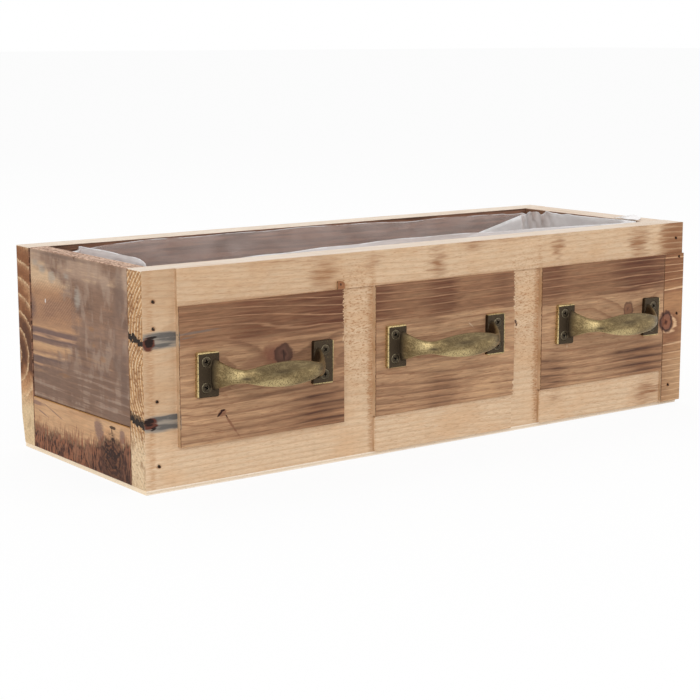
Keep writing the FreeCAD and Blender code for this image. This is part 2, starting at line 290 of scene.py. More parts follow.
# sawn end, inner side and rim, laid over the face by where they are and which way they look
def otherSides(wood, colour):
    tree, look = wood.tree, wood.look
    if "end" in look:
        sawn = product(tree, inverse(tree, within(tree, wood.facingAlong, 0.0, 0.5)),
                       inverse(tree, within(tree, wood.along, 0.0, look["endAt"])))
        colour = coats(tree, colour, (sawn, sawnEnd(wood, look["end"])))
    side = combine(tree, "GREATER_THAN", product(tree, wood.facingDepth, look["innerSide"]), 0.5)
    streaks = combine(tree, "MAXIMUM", rise(tree, wood.streak, 0.44, 0.58), product(tree, wood.late, 0.6))
    inner = coats(tree, look["inner"][0], (streaks, look["inner"][1]))
    top = product(tree, combine(tree, "GREATER_THAN", wood.facingUp, 0.6),
                  combine(tree, "GREATER_THAN", wood.up, rimHeight))
    rim = coats(tree, look["rim"][0], (rise(tree, wood.streak, 0.45, 0.7), look["rim"][1]),
                (flecks(tree, wood.place, (6, 1, 1), 3, 0.60, 0.72, 0.4), "#BF9C7E"))
    if "rimChip" in look:
        rim = coats(tree, rim, (flecks(tree, wood.place, (3, 1.6, 3), 5, 0.46, 0.60, 0.9), look["rimChip"]))
    return coats(tree, colour, (side, inner), (top, rim))


# a knot: where, and its colours from the middle outwards, each with its share of the radius and its cover
def knot(wood, colour, spot, rings):
    tree = wood.tree
    halfLong, halfHigh = spot[2:4]
    place = shaken(tree, wood.place, (6, 6, 6), 2, (halfLong * 0.8, 0, halfHigh * 0.8))
    ramp = addNode(tree, "ValToRGB", {0: softSpots(tree, place, [(*spot, 1.0)])}, stops=[
        (1 - share, linear(hexColour, cover)) for share, hexColour, cover in rings])
    return coats(tree, colour, (ramp.node.outputs[1], ramp))


# soft marks of one colour, with an edge that follows the fibres
def stain(wood, colour, hexColour, spots, edge=(0.12, 0.5), most=1.0, ragged=0.5):
    tree = wood.tree
    uneven = spread(tree, wood.fibre, 1 - ragged, 1 + ragged)
    mask = rise(tree, product(tree, softSpots(tree, wood.place, spots), uneven), *edge, most)
    return coats(tree, colour, (mask, hexColour))


# knots and stains laid on in order
def marked(wood, colour, marks):
    for layMark, *values in marks:
        colour = layMark(wood, colour, *values)
    return colour


def finishWood(wood, colour, height=None, bump=0.3):
    tree = wood.tree
    if height is None:    # fibres, and the hard lines of the rings stand a little proud
        height = pushed(tree, 0.0, (wood.line, 0.35), (wood.fibre, 0.8))
    rough = addNode(tree, "MapRange", {"Value": wood.fibre, "To Min": 0.62, "To Max": 0.84})
    relief = addNode(tree, "Bump", {"Height": height, "Strength": bump, "Distance": 0.6 * millimetre})
    shader = addNode(tree, "BsdfPrincipled", {"Base Color": colour, "Roughness": rough, "IOR": 1.45,
                                              "Specular IOR Level": 0.3, "Normal": relief})
    addNode(tree, "OutputMaterial", {"Surface": shader})
    return wood.material


def dress(material, *names):
    for name in names:
        nodes[name].data.materials.clear()
        nodes[name].data.materials.append(material)


# The front board: old rough pine whose frame has been routed down to fresh wood.
# It gives the eye brown panels with darkened bands, set in a pale, faintly striped frame.
frontBoard = dict(
    grain="X", pith=(-150, 77), ringWidth=3.1, rise=0.5, wander=16, wanderSize=(300, 90, 110), endAt=253.4,
    old=dict(low="#BE9874", high="#A07A5A", tint="#A47E5F", tintShare=0.5, late="#7E533A", warm="#8C6144",
             dark="#4E3226", darkHigh="#5F3826", paleLine="#B08867"),
    fresh=dict(
        # the last colour on this line is painted shade that darkens the routed face upwards
        early="#DABF9F", late="#BF9875", dash="#A87C58", scorch="#8A5A38", warm="#D2AE89", upwardShade="#AB8663",
        speck="#A06A3C", torn="#AD7B50", corner="#7F5134",
        burns=[(-108, 138, 20, 19, 0, 1.5), (-66, 142, 15, 12, 0, 1.1), (-5, 138, 14, 18, 0, 1.5),
               (30, 147, 22, 6, 0, 1.2), (115, 139, 11, 16, 0, 1.4), (203, 139, 18, 20, 0, 1.8),
               (244, 139, 24, 26, 0, 2.6), (113, 22, 17, 11, 0, 1.0), (216, 14, 26, 20, 0, 1.4),
               (250, 12, 12, 24, 0, 1.4), (-150, 149, 60, 2.6, 0, 0.9), (60, 150, 90, 2.2, 0, 0.8)],
        speckled=[(-79, 95, 22, 70, 0, 1.6), (83, 95, 22, 75, 0, 1.2), (-66, 60, 6, 90, 0, 1.2),
                  (95, 60, 6, 95, 0, 1.6), (-93, 110, 5, 40, 0, 1.6), (70, 95, 6, 50, 0, 1.6)],
        tornOut=[(-66, 75, 5, 130, 0, 1), (95.5, 75, 5, 130, 0, 1), (-249, 75, 6, 160, 0, 0.9)],
        rightCorner=[(250, 134, 24, 26, 0, 1.5)]),
    raisedFrom=(93.1, 93.7), rawFace=-94.0,
    # the stub of raised wood above panel 1: middle along, half length and foot
    stub=(-95.5, 4.5, 125.8), stubColour="#93613F",
    # the panels' torn right edges: the edge, from and to what height
    tornEdges=((-93.1, 88, 130), (68.4, 96, 128), (68.4, 30, 42)),
    wall=("#CDAE8D", "#BA9671", "#5C3822", "#9A6E4C"),
    end=dict(early="#BD8C5C", late="#EACBA2", line="#F8EACB", low="#EFD5B0", pit="#8A5C38",
             lineShare=0.8, pitShare=0.85),
    rim=("#EDDDCC", "#DEC6AE"), inner=("#8B6248", "#74503B"), innerSide=1.0,
    ringPush=[(-150, 84, 60, 24, 0, 5), (191, 86, 40, 18, 0, 4), (236, 70, 34, 18, 0, 5),
              (-252, 103, 36, 16, 0, 5), (-252, 48, 36, 16, 0, 4)],
    scorchEnds=(-254, 254), scorchHeights=(50, 60, 94, 104),
    scorch=[    # along, above, below, between
        (-254, 0.00, 0.00, 0.00), (-228, 0.45, 0.10, 0.15), (-190, 0.50, 0.20, 0.32),
        (-172, 0.72, 0.24, 0.42), (-142, 0.58, 0.36, 0.46), (-118, 0.88, 0.88, 0.56),
        (-94, 0.95, 0.70, 0.40), (-64, 0.90, 0.40, 0.20), (-44, 0.55, 0.32, 0.10),
        (-26, 0.34, 0.30, 0.05), (-8, 0.82, 0.62, 0.10), (6, 0.80, 0.50, 0.06), (16, 0.30, 0.04, 0.00),
        (44, 0.34, 0.02, 0.00), (56, 0.66, 0.06, 0.00), (70, 0.40, 0.10, 0.00), (97, 0.66, 0.60, 0.14),
        (114, 0.76, 0.62, 0.14), (128, 0.40, 0.24, 0.04), (168, 0.42, 0.24, 0.02),
        (190, 0.86, 0.66, 0.10), (212, 0.97, 0.90, 0.16), (231, 0.78, 0.62, 0.12),
        (254, 0.60, 0.25, 0.14)],
    panelMarks=[
        # panel 1: a dark round knot with a reddish wing, its crack, and a split knot with a long check
        (knot, (-153, 86, 13, 9.5, 0), [
            (0.0, "#74483A", 0.9), (0.45, "#7A4D3B", 0.85), (0.7, "#8A5F47", 0.5), (1.0, "#8A5F47", 0.0)]),
        (knot, (-145.5, 85.2, 9.4, 7.6, 0), [
            (0.0, "#40281F", 1.0), (0.4, "#5F4034", 0.95), (0.66, "#50362B", 0.95), (0.82, "#452B23", 0.85),
            (1.0, "#5B3C34", 0.0)]),
        (stain, "#33211B", [(-145, 84, 0.9, 6, 5, 1.4)], (0.2, 0.6), 0.8),
        (stain, "#7A5340", [(-170, 82, 14, 4.5, 8, 1.1), (-157, 91, 6, 3, 0, 0.9)], (0.1, 0.7), 0.5),
        (stain, "#7A4F3A", [(-196.0, 49.8, 5.0, 3.6, 35, 1.2), (-188.0, 40.0, 15, 1.3, -55, 1.2)],
         (0.15, 0.7), 0.75),
        (stain, "#33190F", [(-198.0, 49.2, 3.8, 1.1, 42, 1.6), (-195.4, 51.6, 2.4, 1.0, 5, 1.5),
                            (-192.6, 47.4, 2.6, 0.6, -55, 1.2)], (0.2, 0.6)),
        # panel 3 and the right stile: one knot each
        (knot, (190.8, 84.5, 6.4, 8.4, 0), [
            (0.0, "#55392E", 1.0), (0.25, "#7B5440", 0.85), (0.62, "#80573F", 0.8), (0.78, "#573A2F", 0.9),
            (1.0, "#6A4A3C", 0.0)]),
        (knot, (235.0, 69.8, 8.4, 10.2, 8), [
            (0.0, "#33190F", 1.0), (0.14, "#5F3322", 1.0), (0.26, "#8A5A42", 1.0), (0.56, "#74493A", 0.95),
            (0.68, "#3A221A", 1.0), (0.84, "#53352A", 0.9), (1.0, "#7B4938", 0.0)])],
    stileMarks=[    # two black knots at the left end and the blue stain that runs from them to the panel
        (stain, "#8B857C", [(-240, 103.8, 30, 7.4, -1, 1.6), (-240, 47.8, 30, 7.4, 0, 1.6)],
         (0.10, 0.6), 0.86, 0.4),
        (stain, "#54514F", [(-236, 106.6, 28, 3.2, -1, 1.4), (-242, 100.2, 16, 2.4, 4, 1.2),
                            (-234, 103.6, 12, 1.6, -2, 0.9), (-236, 45.0, 22, 3.0, -2, 1.2),
                            (-236, 51.0, 24, 2.6, 0, 1.4)], (0.08, 0.8), 0.85, 0.6),
        (stain, "#5A2B1D", [(-249.5, 102.4, 6.6, 7.4, 10, 1.7), (-249.5, 48.4, 8.0, 6.0, -12, 1.7)],
         (0.3, 0.75), 0.95, 0.5),
        (stain, "#1D110D", [(-249.2, 103.4, 4.4, 5.4, 10, 1.7), (-250.5, 49.8, 5.4, 4.0, -12, 1.7),
                            (-246, 106.0, 5.0, 1.6, 6, 1.4), (-247, 44.8, 4.6, 1.8, 20, 1.4)],
         (0.3, 0.8), 0.95, 0.6)],
    stileEdge=(-228.5, -228.0), seamShadow=(-69.9, -69.1), seamShadowColour="#5B3A24",
    # cracks across the sawn end: height, half height and cover
    endCracks=((124.8, 2.6, 0.97), (69.2, 2.3, 0.97), (72.6, 1.1, 0.7)), crackColour="#160E0B",
    blueLine=[(stain, "#66605C", [(-214, 107.4, 26, 1.3, 3, 1.4), (-222, 104.2, 10, 1.0, 4, 1.0)],
               (0.2, 0.9), 0.6)],
    # bands that the torch left nearly black: middle and half length along, strength
    lowBands=((-110, 24, 1.15), (-101, 10, 0.7), (-4, 20, 0.62), (108, 18, 0.8), (206, 32, 1.1)),
    # and how they lie over one another: height, share of the length, half height, side step
    bandRows=((56.5, 0.9, 3.0, 0), (50.5, 1.2, 3.6, -1), (44.5, 1.1, 3.0, 1), (39.0, 0.9, 2.2, -1),
              (34.5, 0.8, 1.8, 1)),
    bandColour="#4E3327", bandStep=6,
    lastMarks=[    # a pale and a dark drift, a nick, scratches and sap spots
        (stain, "#CDA47C", [(40, 40, 26, 13, 0, 1.0), (0, 60, 26, 6, 0, 1.2)], (0.1, 0.9), 0.42, 0.7),
        (stain, "#6F4A38", [(-170, 97, 26, 7, 0, 1.2)], (0.1, 0.9), 0.3, 0.7),
        (stain, "#4B2F24", [(73.5, 85.5, 1.6, 2.6, 30, 1.5), (74.5, 83, 2.0, 1.0, 50, 1.3),
                            (-96, 129.4, 1.3, 1.3, 0, 1.6), (-91.5, 111, 0.9, 1.6, 0, 1.5)],
         (0.3, 0.7), 0.9),
        (stain, "#CDB69C", [(25, 88.5, 5, 0.7, -40, 1.3), (124, 61.5, 0.8, 2.2, 0, 1.2),
                            (-7, 14.5, 4, 0.8, 12, 1.3)], (0.3, 0.7), 0.6)],
)


# routed wood: pale, finely fibrous, faintly ringed, browned in streaks where the scorch was deep
def freshFace(wood):
    tree, place, late, up = wood.tree, wood.place, wood.late, wood.up
    fresh = wood.look["fresh"]
    fuzz = patches(tree, place, (5, 1.4, 0.6), 4)
    streaky = pushed(tree, -0.10, (patches(tree, place, (16, 3, 1.1), 4), 1.3))
    burn = product(tree, streaky,
                   softSpots(tree, shaken(tree, place, (18, 6, 2.2), 4, (30, 0, 8)), fresh["burns"]))
    burn = product(tree, rise(tree, burn, 0.06, 0.92, 0.95), inverse(tree, product(tree, late, 0.6)))
    specks = product(tree, flecks(tree, place, (2.2, 1.0, 0.7), 5, 0.50, 0.68),
                     rise(tree, softSpots(tree, place, fresh["speckled"]), 0.0, 1.1, 0.85))
    tornOut = product(tree, rise(tree, softSpots(tree, place, fresh["tornOut"]), 0.1, 0.8, 0.6),
                      rise(tree, fuzz, 0.38, 0.56))
    corner = product(tree, rise(tree, softSpots(tree, place, fresh["rightCorner"]), 0.1, 0.9, 0.85),
                     inverse(tree, product(tree, late, 0.7)))
    # it darkens a little upwards as painted shade, the left stile more, and the right half less
    leftStile = product(tree, inverse(tree, rise(tree, wood.along, -231, -229)), rise(tree, up, 30, 50, 0.2))
    upwardShade = combine(tree, "ADD", rise(tree, up, 28, 50, 0.24), rise(tree, up, 116, 134, 0.14), leftStile)
    upwardShade = product(tree, upwardShade, inverse(tree, rise(tree, wood.along, -110, -50, 0.45)))
    return coats(tree, fresh["early"],
                 (product(tree, late, 0.46), fresh["late"]),
                 (rise(tree, wood.cloud, 0.42, 0.68, 0.7), fresh["warm"]),
                 (rise(tree, fuzz, 0.50, 0.70, 0.45), fresh["late"]),
                 (burn, fresh["scorch"]),
                 (flecks(tree, place, (5, 0.8, 0.4), 3, 0.58, 0.70, 0.6), fresh["dash"]),
                 (specks, fresh["speck"]), (tornOut, fresh["torn"]), (corner, fresh["corner"]),
                 (upwardShade, fresh["upwardShade"]))


# the raised face that the router left, less the splinters torn off the panels' right edges
def raisedMask(wood):
    tree, look = wood.tree, wood.look
    old = rise(tree, product(tree, wood.depth, -1.0), *look["raisedFrom"])
    reach = pushed(tree, wood.along, (patches(tree, wood.place, (1.3, 1.3, 1.1), 1), 6.0))
    for edge, low, high in look["tornEdges"]:
        torn = product(tree, rise(tree, reach, edge + 2.4, edge + 2.9),
                       within(tree, wood.along, edge - 1.0, 2.2),
                       within(tree, wood.up, (low + high) / 2, (high - low) / 2))
        old = product(tree, old, inverse(tree, torn))
    return old


# the right stile is old wood too, but sun-warmed: orange with pale lines
def rightStile(wood, scorch):
    tree, line = wood.tree, wood.line
    dark = coats(tree, "#75482F", (product(tree, line, 0.8), "#C09570"))
    return coats(tree, "#A77A55",
                 (product(tree, wood.late, inverse(tree, line)), "#774A33"),
                 (inverse(tree, rise(tree, wood.up, 28, 58)), "#B6906B"),
                 (product(tree, line, 0.9), "#D6B08A"),
                 (rise(tree, scorch, 0.25, 1.0), dark))


# the cutter's side walls: as pale as the routed wood, browner in drifts and where they lie level,
# with a dark ragged upper edge
def wallFace(wood):
    tree, (pale, drift, edgeColour, levelColour) = wood.tree, wood.look["wall"]
    height = pushed(tree, wood.depth, (patches(tree, wood.place, (1.2, 1.2, 1.6), 3), -2.6))
    edge = inverse(tree, rise(tree, height, -94.7, -94.2))
    level = inverse(tree, within(tree, wood.facingUp, 0.0, 0.5))
    return coats(tree, pale, (rise(tree, wood.cloud, 0.4, 0.6), drift),
                 (product(tree, edge, 0.8), edgeColour),
                 (product(tree, level, 0.55), levelColour))


def knotsAndMarks(wood, colour):
    tree, look, place = wood.tree, wood.look, wood.place
    colour = marked(wood, colour, look["panelMarks"])
    onFront = within(tree, wood.facingAlong, 0.0, 0.5)
    inStile = inverse(tree, rise(tree, wood.along, *look["stileEdge"]))
    colour = coats(tree, colour, (product(tree, inStile, onFront), marked(wood, colour, look["stileMarks"])))
    # the two black knots run across the sawn end as ragged lines that climb to the back
    onEnd = product(tree, inverse(tree, onFront), rise(tree, product(tree, wood.along, -1.0), 252.0, 253.0))
    climb = pushed(tree, wood.up, (patches(tree, place, (2.6, 2.6, 2.6), 5), 9.0), (wood.depth, -0.2))
    for height, half, cover in look["endCracks"]:
        crack = product(tree, within(tree, climb, height, half), onEnd, cover)
        colour = coats(tree, colour, (crack, look["crackColour"]))
    # painted shadow: a dark ragged edge where the sawn end meets the end boards
    seamShadow = pushed(tree, wood.depth, (patches(tree, place, (2, 2, 4), 4), 3.0))
    seamShadow = product(tree, rise(tree, seamShadow, *look["seamShadow"], 0.8), onEnd)
    colour = marked(wood, coats(tree, colour, (seamShadow, look["seamShadowColour"])), look["blueLine"])
    lined = addNode(tree, "Math", {0: wood.late, 1: 0.7, 2: 0.38}, operation="MULTIPLY_ADD", use_clamp=True)
    onRaw = product(tree, lined, within(tree, wood.depth, look["rawFace"], 0.6))
    for middle, half, strength in look["lowBands"]:
        bands = [(middle + look["bandStep"] * step, height, half * share, halfHigh, 0, strength)
                 for height, share, halfHigh, step in look["bandRows"]]
        dark = stain(wood, colour, look["bandColour"], bands, (0.05, 1.0), 0.9, 0.6)
        colour = coats(tree, colour, (onRaw, dark))
    colour = marked(wood, colour, look["lastMarks"])
    # rust round the sunk brads
    spots = bradPlaces("front_left_brads", 0) + bradPlaces("front_right_brads", 0)
    colour = stain(wood, colour, "#8A5834", [(x, z, 3.2, 2.6, 0, 1.2) for x, z in spots], (0.1, 0.8), 0.55)
    holes = [(x + 0.4, z - 0.3, 1.9, 1.5, -40, 1.6) for x, z in spots]
    return stain(wood, colour, "#3A2219", holes, (0.35, 0.8), 0.95)


def makeFrontWood(look):
    wood = startWood("oldPineRoutedToFreshWood", look)
    tree = wood.tree
    scorch = scorching(wood)
    face = coats(tree, oldFace(wood, scorch),
                 (rise(tree, wood.along, 230.8, 231.6, 0.9), rightStile(wood, scorch)))
    middle, half, foot = look["stub"]
    stub = product(tree, within(tree, wood.along, middle, half), rise(tree, wood.up, foot, foot + 0.5),
                   rise(tree, product(tree, wood.depth, -1.0), *look["raisedFrom"]), 0.85)
    wall = product(tree, within(tree, wood.facingDepth, 0.0, 0.5), within(tree, wood.along, 0.0, 253.2),
                   within(tree, wood.up, 77.0, 72.6))
    colour = coats(tree, fibreTone(wood, freshFace(wood), 0.07),
                   (raisedMask(wood), fibreTone(wood, face, 0.15)),
                   (stub, look["stubColour"]), (wall, wallFace(wood)))
    return finishWood(wood, knotsAndMarks(wood, otherSides(wood, colour)))


print("wood of the front")
dress(makeFrontWood(frontBoard), "front_board")

# The back board: wide-ringed pine with a waney lower edge, its end browned above and pale below
backBoard = dict(
    grain="X", pith=(101, 72), ringWidth=12.5, rise=-0.4, wander=8, wanderSize=(320, 60, 80), endAt=253.4,
    old=dict(low="#B28A68", high="#A07A5B", tint="#97735C", tintShare=0.6, late="#7C5339", warm="#94694B",
             dark="#5A3D30", darkHigh="#6C4834", paleLine="#B08B6A"),
    end=dict(early="#C8976C", late="#DDB388", line="#EACBA2", low="#EBD2A8", pit="#70492C", lineShare=0.6,
             pitShare=0.35, burnt="#875433", burntFrom=(44, 60), deep="#4E2F20", deepFrom=(50, 60),
             deepTo=(92, 116)),
    rim=("#F0E0CE", "#E2CBB4"), inner=("#8C6550", "#563A2C"), innerSide=-1.0,
    scorchEnds=(-254, 254), scorchHeights=(40, 56, 96, 110),
    scorch=[(-254, 0.5, 0.3, 0.3), (-200, 0.7, 0.4, 0.2), (-150, 0.2, 0.6, 0.1), (-90, 0.8, 0.3, 0.3),
            (-30, 0.3, 0.5, 0.1), (20, 0.6, 0.8, 0.4), (80, 0.2, 0.3, 0.1), (130, 0.7, 0.4, 0.2),
            (190, 0.3, 0.8, 0.3), (254, 0.6, 0.5, 0.3)],
)

# Both right end boards: the same brown pine
rightEnd = dict(
    grain="Y", pith=(-300, 60), ringWidth=4.2, rise=1.0, wander=14, wanderSize=(200, 70, 80),
    old=dict(low="#B38B69", high="#9E775A", tint="#94705A", tintShare=0.6, late="#8A6044", warm="#94694B",
             dark="#5C3E30", darkHigh="#6E4936", paleLine="#AC8765"),
    rim=("#ECD9C6", "#DCC0A5"), inner=("#8A644C", "#6F4E3C"), innerSide=1.0,
    scorchEnds=(-80, 80), scorchHeights=(30, 50, 96, 112),
    scorch=[(-80, 0.7, 0.4, 0.2), (-40, 0.2, 0.6, 0.1), (0, 0.6, 0.3, 0.3), (40, 0.3, 0.8, 0.1),
            (80, 0.7, 0.5, 0.3)],
)


def makePlainWood(name, look):
    wood = startWood(name, look)
    return finishWood(wood, fibreTone(wood, otherSides(wood, oldFace(wood, scorching(wood)))))


print("wood of the back and right end")
dress(makePlainWood("wideRingedPine", backBoard), "back_board")
dress(makePlainWood("brownPine", rightEnd), "right_end_upper_board", "right_end_lower_board")

# The left end's upper board: driftwood grey over planer ripples, worn through to brown wood at the back
leftUpper = dict(
    grain="Y", pith=(300, 118), ringWidth=4.4, rise=-1.5, wander=10, wanderSize=(160, 60, 70),
    grey="#8A6B57", greyLate="#785C4C", greyTint="#987A67", greyLow="#7F6454", greyRipple="#775F52",
    palePatch="#AF9784", paleStreak="#A99281", paleTop="#BC9F88", cut="#7A5232",
    rim=("#D6B49B", "#B08A72"), rimChip="#8A6450", inner=("#7E5A47", "#684837"), innerSide=-1.0,
    worn=(82, 103, 92, 46, 0, 1.0), ripple=11.5, sawPitch=2.1, sawDark="#74503E", sawPale="#C0926C",
    bandSpan=(60, 138),
    bands=[    # height and colour of the bare wood's bands
        (60, "#7B6354"), (63, "#7A6154"), (64.5, "#BC9370"), (66, "#7C6357"), (68, "#755D54"),
        (69.5, "#BB9170"), (71, "#7C6357"), (75, "#735C55"), (76.5, "#D2A67E"), (78, "#94725C"),
        (80, "#BE946F"), (84, "#CCA27A"), (85.5, "#866A5B"), (89, "#735C56"), (90.5, "#C69B78"),
        (92, "#785F57"), (95, "#7C6359"), (97, "#C0946F"), (99, "#B08767"), (106, "#A17A60"),
        (115, "#A67F64"), (122, "#A37B5E"), (127, "#C9A583"), (131, "#D6B592"), (138, "#CEAD8B")],
    bareMarks=[
        (stain, "#6C554F", [(84, 108, 24, 17, 0, 1.5)], (0.1, 0.9), 0.85),
        (stain, "#5F4C45", [(40, 88, 26, 2.6, 2, 0.9), (36, 73, 24, 2.4, 2, 0.9)], (0.1, 0.9), 0.5)],
    marks=[    # pale paint-like spots, dark drifts at the edges, bare brown specks and one white chip
        (stain, "#A89E92", [(40, 133, 8, 6, 0, 1.4), (55, 137, 8, 5, 0, 1.2), (66, 141, 9, 4, 0, 1.0),
                            (18, 136, 7, 4, 0, 0.9), (2, 122, 7, 12, 0, 1.1)], (0.1, 0.9), 0.6),
        (stain, "#6F594E", [(-58, 130, 10, 26, 0, 1.3), (-62, 75, 9, 34, 0, 1.2), (-52, 84, 8, 12, 0, 1.0),
                            (20, 149, 70, 2.4, 0, 1.2)], (0.1, 0.9), 0.6),
        (stain, "#9A6F4A", [(-18, 103, 6, 3, 0, 1.2), (-33, 84, 7, 3, 0, 1.2), (-20, 92, 4, 3, 0, 1.0),
                            (24, 64, 14, 2.4, 0, 1.0)], (0.1, 0.9), 0.5),
        (stain, "#E5DDD8", [(51, 114.5, 1.3, 2.4, 0, 1.6)], (0.3, 0.7), 0.8)],
)


# where the planer's ripples have worn the grey away: a half ellipse whose edge steps with the ripples
def wornMask(wood):
    tree, place, look = wood.tree, wood.place, wood.look
    stepped = addNode(tree, "VectorMath", {0: place, 1: (look["ripple"], farAcross, 0.0001)},
                      operation="SNAP")
    edge = addNode(tree, "Mix", {0: 0.6, 4: place, 5: stepped}, out=1, data_type="VECTOR")
    reach = pushed(tree, softSpots(tree, edge, [look["worn"]]), (patches(tree, place, (11, 8, 6), 4), 0.42),
                   (wood.streak, 0.30))
    return rise(tree, reach, 0.36, 0.62)


# the bare wood's bands, tilted a little, under slanting saw marks
def bareWood(wood):
    tree, place, look = wood.tree, wood.place, wood.look
    tilted = addNode(tree, "Mapping", {"Vector": place, "Rotation": (0, math.radians(-2.2), 0)})
    level = addNode(tree, "SeparateXYZ", {0: tilted}, out=2)
    level = pushed(tree, level, (wood.streak, 4.5), (wood.cloud, 3.0))
    low, high = look["bandSpan"]
    push = 3.8    # about what the two noises add on average
    share = addNode(tree, "MapRange", {"Value": level, "From Min": low + push, "From Max": high + push})
    bare = addNode(tree, "ValToRGB", {0: share}, stops=[
        ((height - low) / (high - low), tint) for height, tint in look["bands"]])
    slanting = addNode(tree, "Mapping", {"Vector": place, "Rotation": (0, math.radians(-38), 0)})
    saw = addNode(tree, "TexWave", {"Vector": slanting, "Scale": waveUnit / look["sawPitch"],
                                    "Distortion": 3.0, "Detail": 3.0}, out=1, bands_direction="Z")
    sawn = product(tree, rise(tree, wood.up, 97, 103), inverse(tree, rise(tree, wood.up, 122, 134)))
    bare = coats(tree, bare, (product(tree, saw, sawn, 0.42), look["sawDark"]),
                 (product(tree, sawn, rise(tree, wood.cloud, 0.45, 0.62, 0.5)), look["sawPale"]))
    return marked(wood, bare, look["bareMarks"])


def makeLeftUpperWood(look):
    wood = startWood("greyedPlanedPine", look)
    tree, place, streak, up = wood.tree, wood.place, wood.streak, wood.up
    # faint upright ripples left by the planer, and darker stripes low down
    ripple = addNode(tree, "TexWave", {"Vector": place, "Scale": waveUnit / look["ripple"],
                                       "Distortion": 4.0, "Detail": 3.0, "Detail Scale": 0.6}, out=1)
    upright = patches(tree, place, (9, 10, 44), 3)
    low = inverse(tree, rise(tree, up, 62, 82))
    high = rise(tree, up, 128, 142)
    cut = product(tree, inverse(tree, within(tree, wood.facingUp, 0.0, 0.5)), within(tree, up, 44.0, 8.0))
    colour = coats(tree, look["grey"],
                   (wood.late, look["greyLate"]),
                   (rise(tree, wood.cloud, 0.40, 0.62, 0.7), look["greyTint"]),
                   (product(tree, ripple, rise(tree, upright, 0.35, 0.65, 0.5)), look["greyRipple"]),
                   (flecks(tree, place, (8, 8, 16), 3, 0.46, 0.66, 0.5), look["palePatch"]),
                   (product(tree, low, rise(tree, streak, 0.46, 0.56, 0.85)), look["greyLow"]),
                   (product(tree, low, rise(tree, streak, 0.46, 0.36, 0.5)), look["paleStreak"]),
                   (product(tree, high, rise(tree, wood.cloud, 0.30, 0.55, 0.6)), look["paleTop"]),
                   (wornMask(wood), bareWood(wood)))
    colour = coats(tree, otherSides(wood, marked(wood, colour, look["marks"])), (cut, look["cut"]))
    height = pushed(tree, 0.0, (upright, 0.5), (wood.fibre, 0.7))
    return finishWood(wood, fibreTone(wood, colour, 0.12), height, 0.25)


# The left end's lower board: orange pine, its lower half dark with standing saw fuzz, and a dark knot
leftLower = dict(
    grain="Y", pith=(310, -20), ringWidth=6.0, rise=3.0, wander=14, wanderSize=(120, 60, 60),
    early="#CDA27A", late="#B88C68", pale="#D4AB83", cut="#B5834F",
    fuzzDark="#3C2118", fuzzPale="#976348", bush="#9B6F55", knotDark="#40271D", knotPale="#7A523E",
    gnarl="#2B1811", rim=("#D2A684", "#B98A68"), inner=("#7E5A47", "#684837"), innerSide=-1.0,
    bushy=[(-44, 14, 40, 30, 0, 1.0), (-66, 20, 12, 60, 0, 1.0)], gnarled=[(-45, 18, 20, 22, 0, 1.6)],
    faceMarks=[
        (stain, "#8A6C60", [(-27, 33, 13, 9, 60, 1.5), (-59, 34, 6, 9, 0, 1.3), (72, 37, 24, 2.4, 0, 1.2),
                            (60, 31, 16, 1.0, 12, 1.0), (40, 34, 20, 0.9, 14, 1.0)], (0.2, 0.8), 0.85),
        (stain, "#CE9F76", [(-39, 32, 8, 7, 0, 1.6), (-53, 27, 6, 8, 0, 1.3)], (0.2, 0.8), 0.9)],
    knotMarks=[
        (knot, (-44, 16, 20, 17, 0), [
            (0.0, "#1F110C", 1.0), (0.14, "#5F3B2A", 0.95), (0.26, "#2C1912", 1.0), (0.40, "#7D523A", 0.9),
            (0.50, "#38221A", 0.95), (0.66, "#6E4833", 0.7), (0.78, "#3B251C", 0.8),
            (1.0, "#6B463A", 0.0)])],
    cracks=[
        (stain, "#2F1C15", [(-45.5, 29, 12, 1.3, 82, 1.6), (-40, 20, 7, 2, 30, 1.4),
                            (-52, 20, 7, 2, -28, 1.3), (-46, 38.5, 6, 1.6, 0, 1.6),
                            (-36, 26, 5, 1.2, 35, 1.3)], (0.3, 0.7), 0.9, 0.9)],
)


def makeLeftLowerWood(look):
    wood = startWood("sawnOrangePine", look)
    tree, place, up = wood.tree, wood.place, wood.up
    face = coats(tree, look["early"], (product(tree, wood.late, 0.6), look["late"]),
                 (rise(tree, wood.cloud, 0.45, 0.65, 0.5), look["pale"]))
    face = marked(wood, face, look["faceMarks"])
    # upright saw fuzz: fine hairs that rise from the dark lower half, higher towards the knot
    hair = patches(tree, place, (1.6, 6, 5.5), 5)
    bush = patches(tree, place, (8, 30, 10), 3)
    level = pushed(tree, up, (hair, -34.0), (bush, -16.0), (softSpots(tree, place, look["bushy"]), -12.0))
    dark = inverse(tree, rise(tree, level, -9.0, 3.0))
    nearKnot = product(tree, rise(tree, product(tree, wood.along, -1.0), 0, 40),
                       inverse(tree, rise(tree, up, 4, 30, 0.8)))
    fuzz = coats(tree, look["fuzzDark"], (rise(tree, hair, 0.42, 0.57), look["fuzzPale"]),
                 (rise(tree, bush, 0.5, 0.62, 0.6), look["bush"]),
                 (nearKnot, coats(tree, look["knotDark"], (rise(tree, hair, 0.42, 0.62), look["knotPale"]))))
    gnarl = product(tree, flecks(tree, place, (3, 3.2, 2.6), 4, 0.50, 0.62, 0.85),
                    rise(tree, softSpots(tree, place, look["gnarled"]), 0.1, 0.8))
    colour = marked(wood, coats(tree, face, (dark, fuzz)), look["knotMarks"])
    colour = marked(wood, coats(tree, colour, (gnarl, look["gnarl"])), look["cracks"])
    cut = product(tree, inverse(tree, within(tree, wood.facingUp, 0.0, 0.5)), rise(tree, up, 30, 34))
    colour = coats(tree, otherSides(wood, colour), (cut, look["cut"]))
    height = pushed(tree, 0.0, (wood.fibre, 0.4), (hair, 1.0))
    return finishWood(wood, fibreTone(wood, colour, 0.14), height, 0.5)


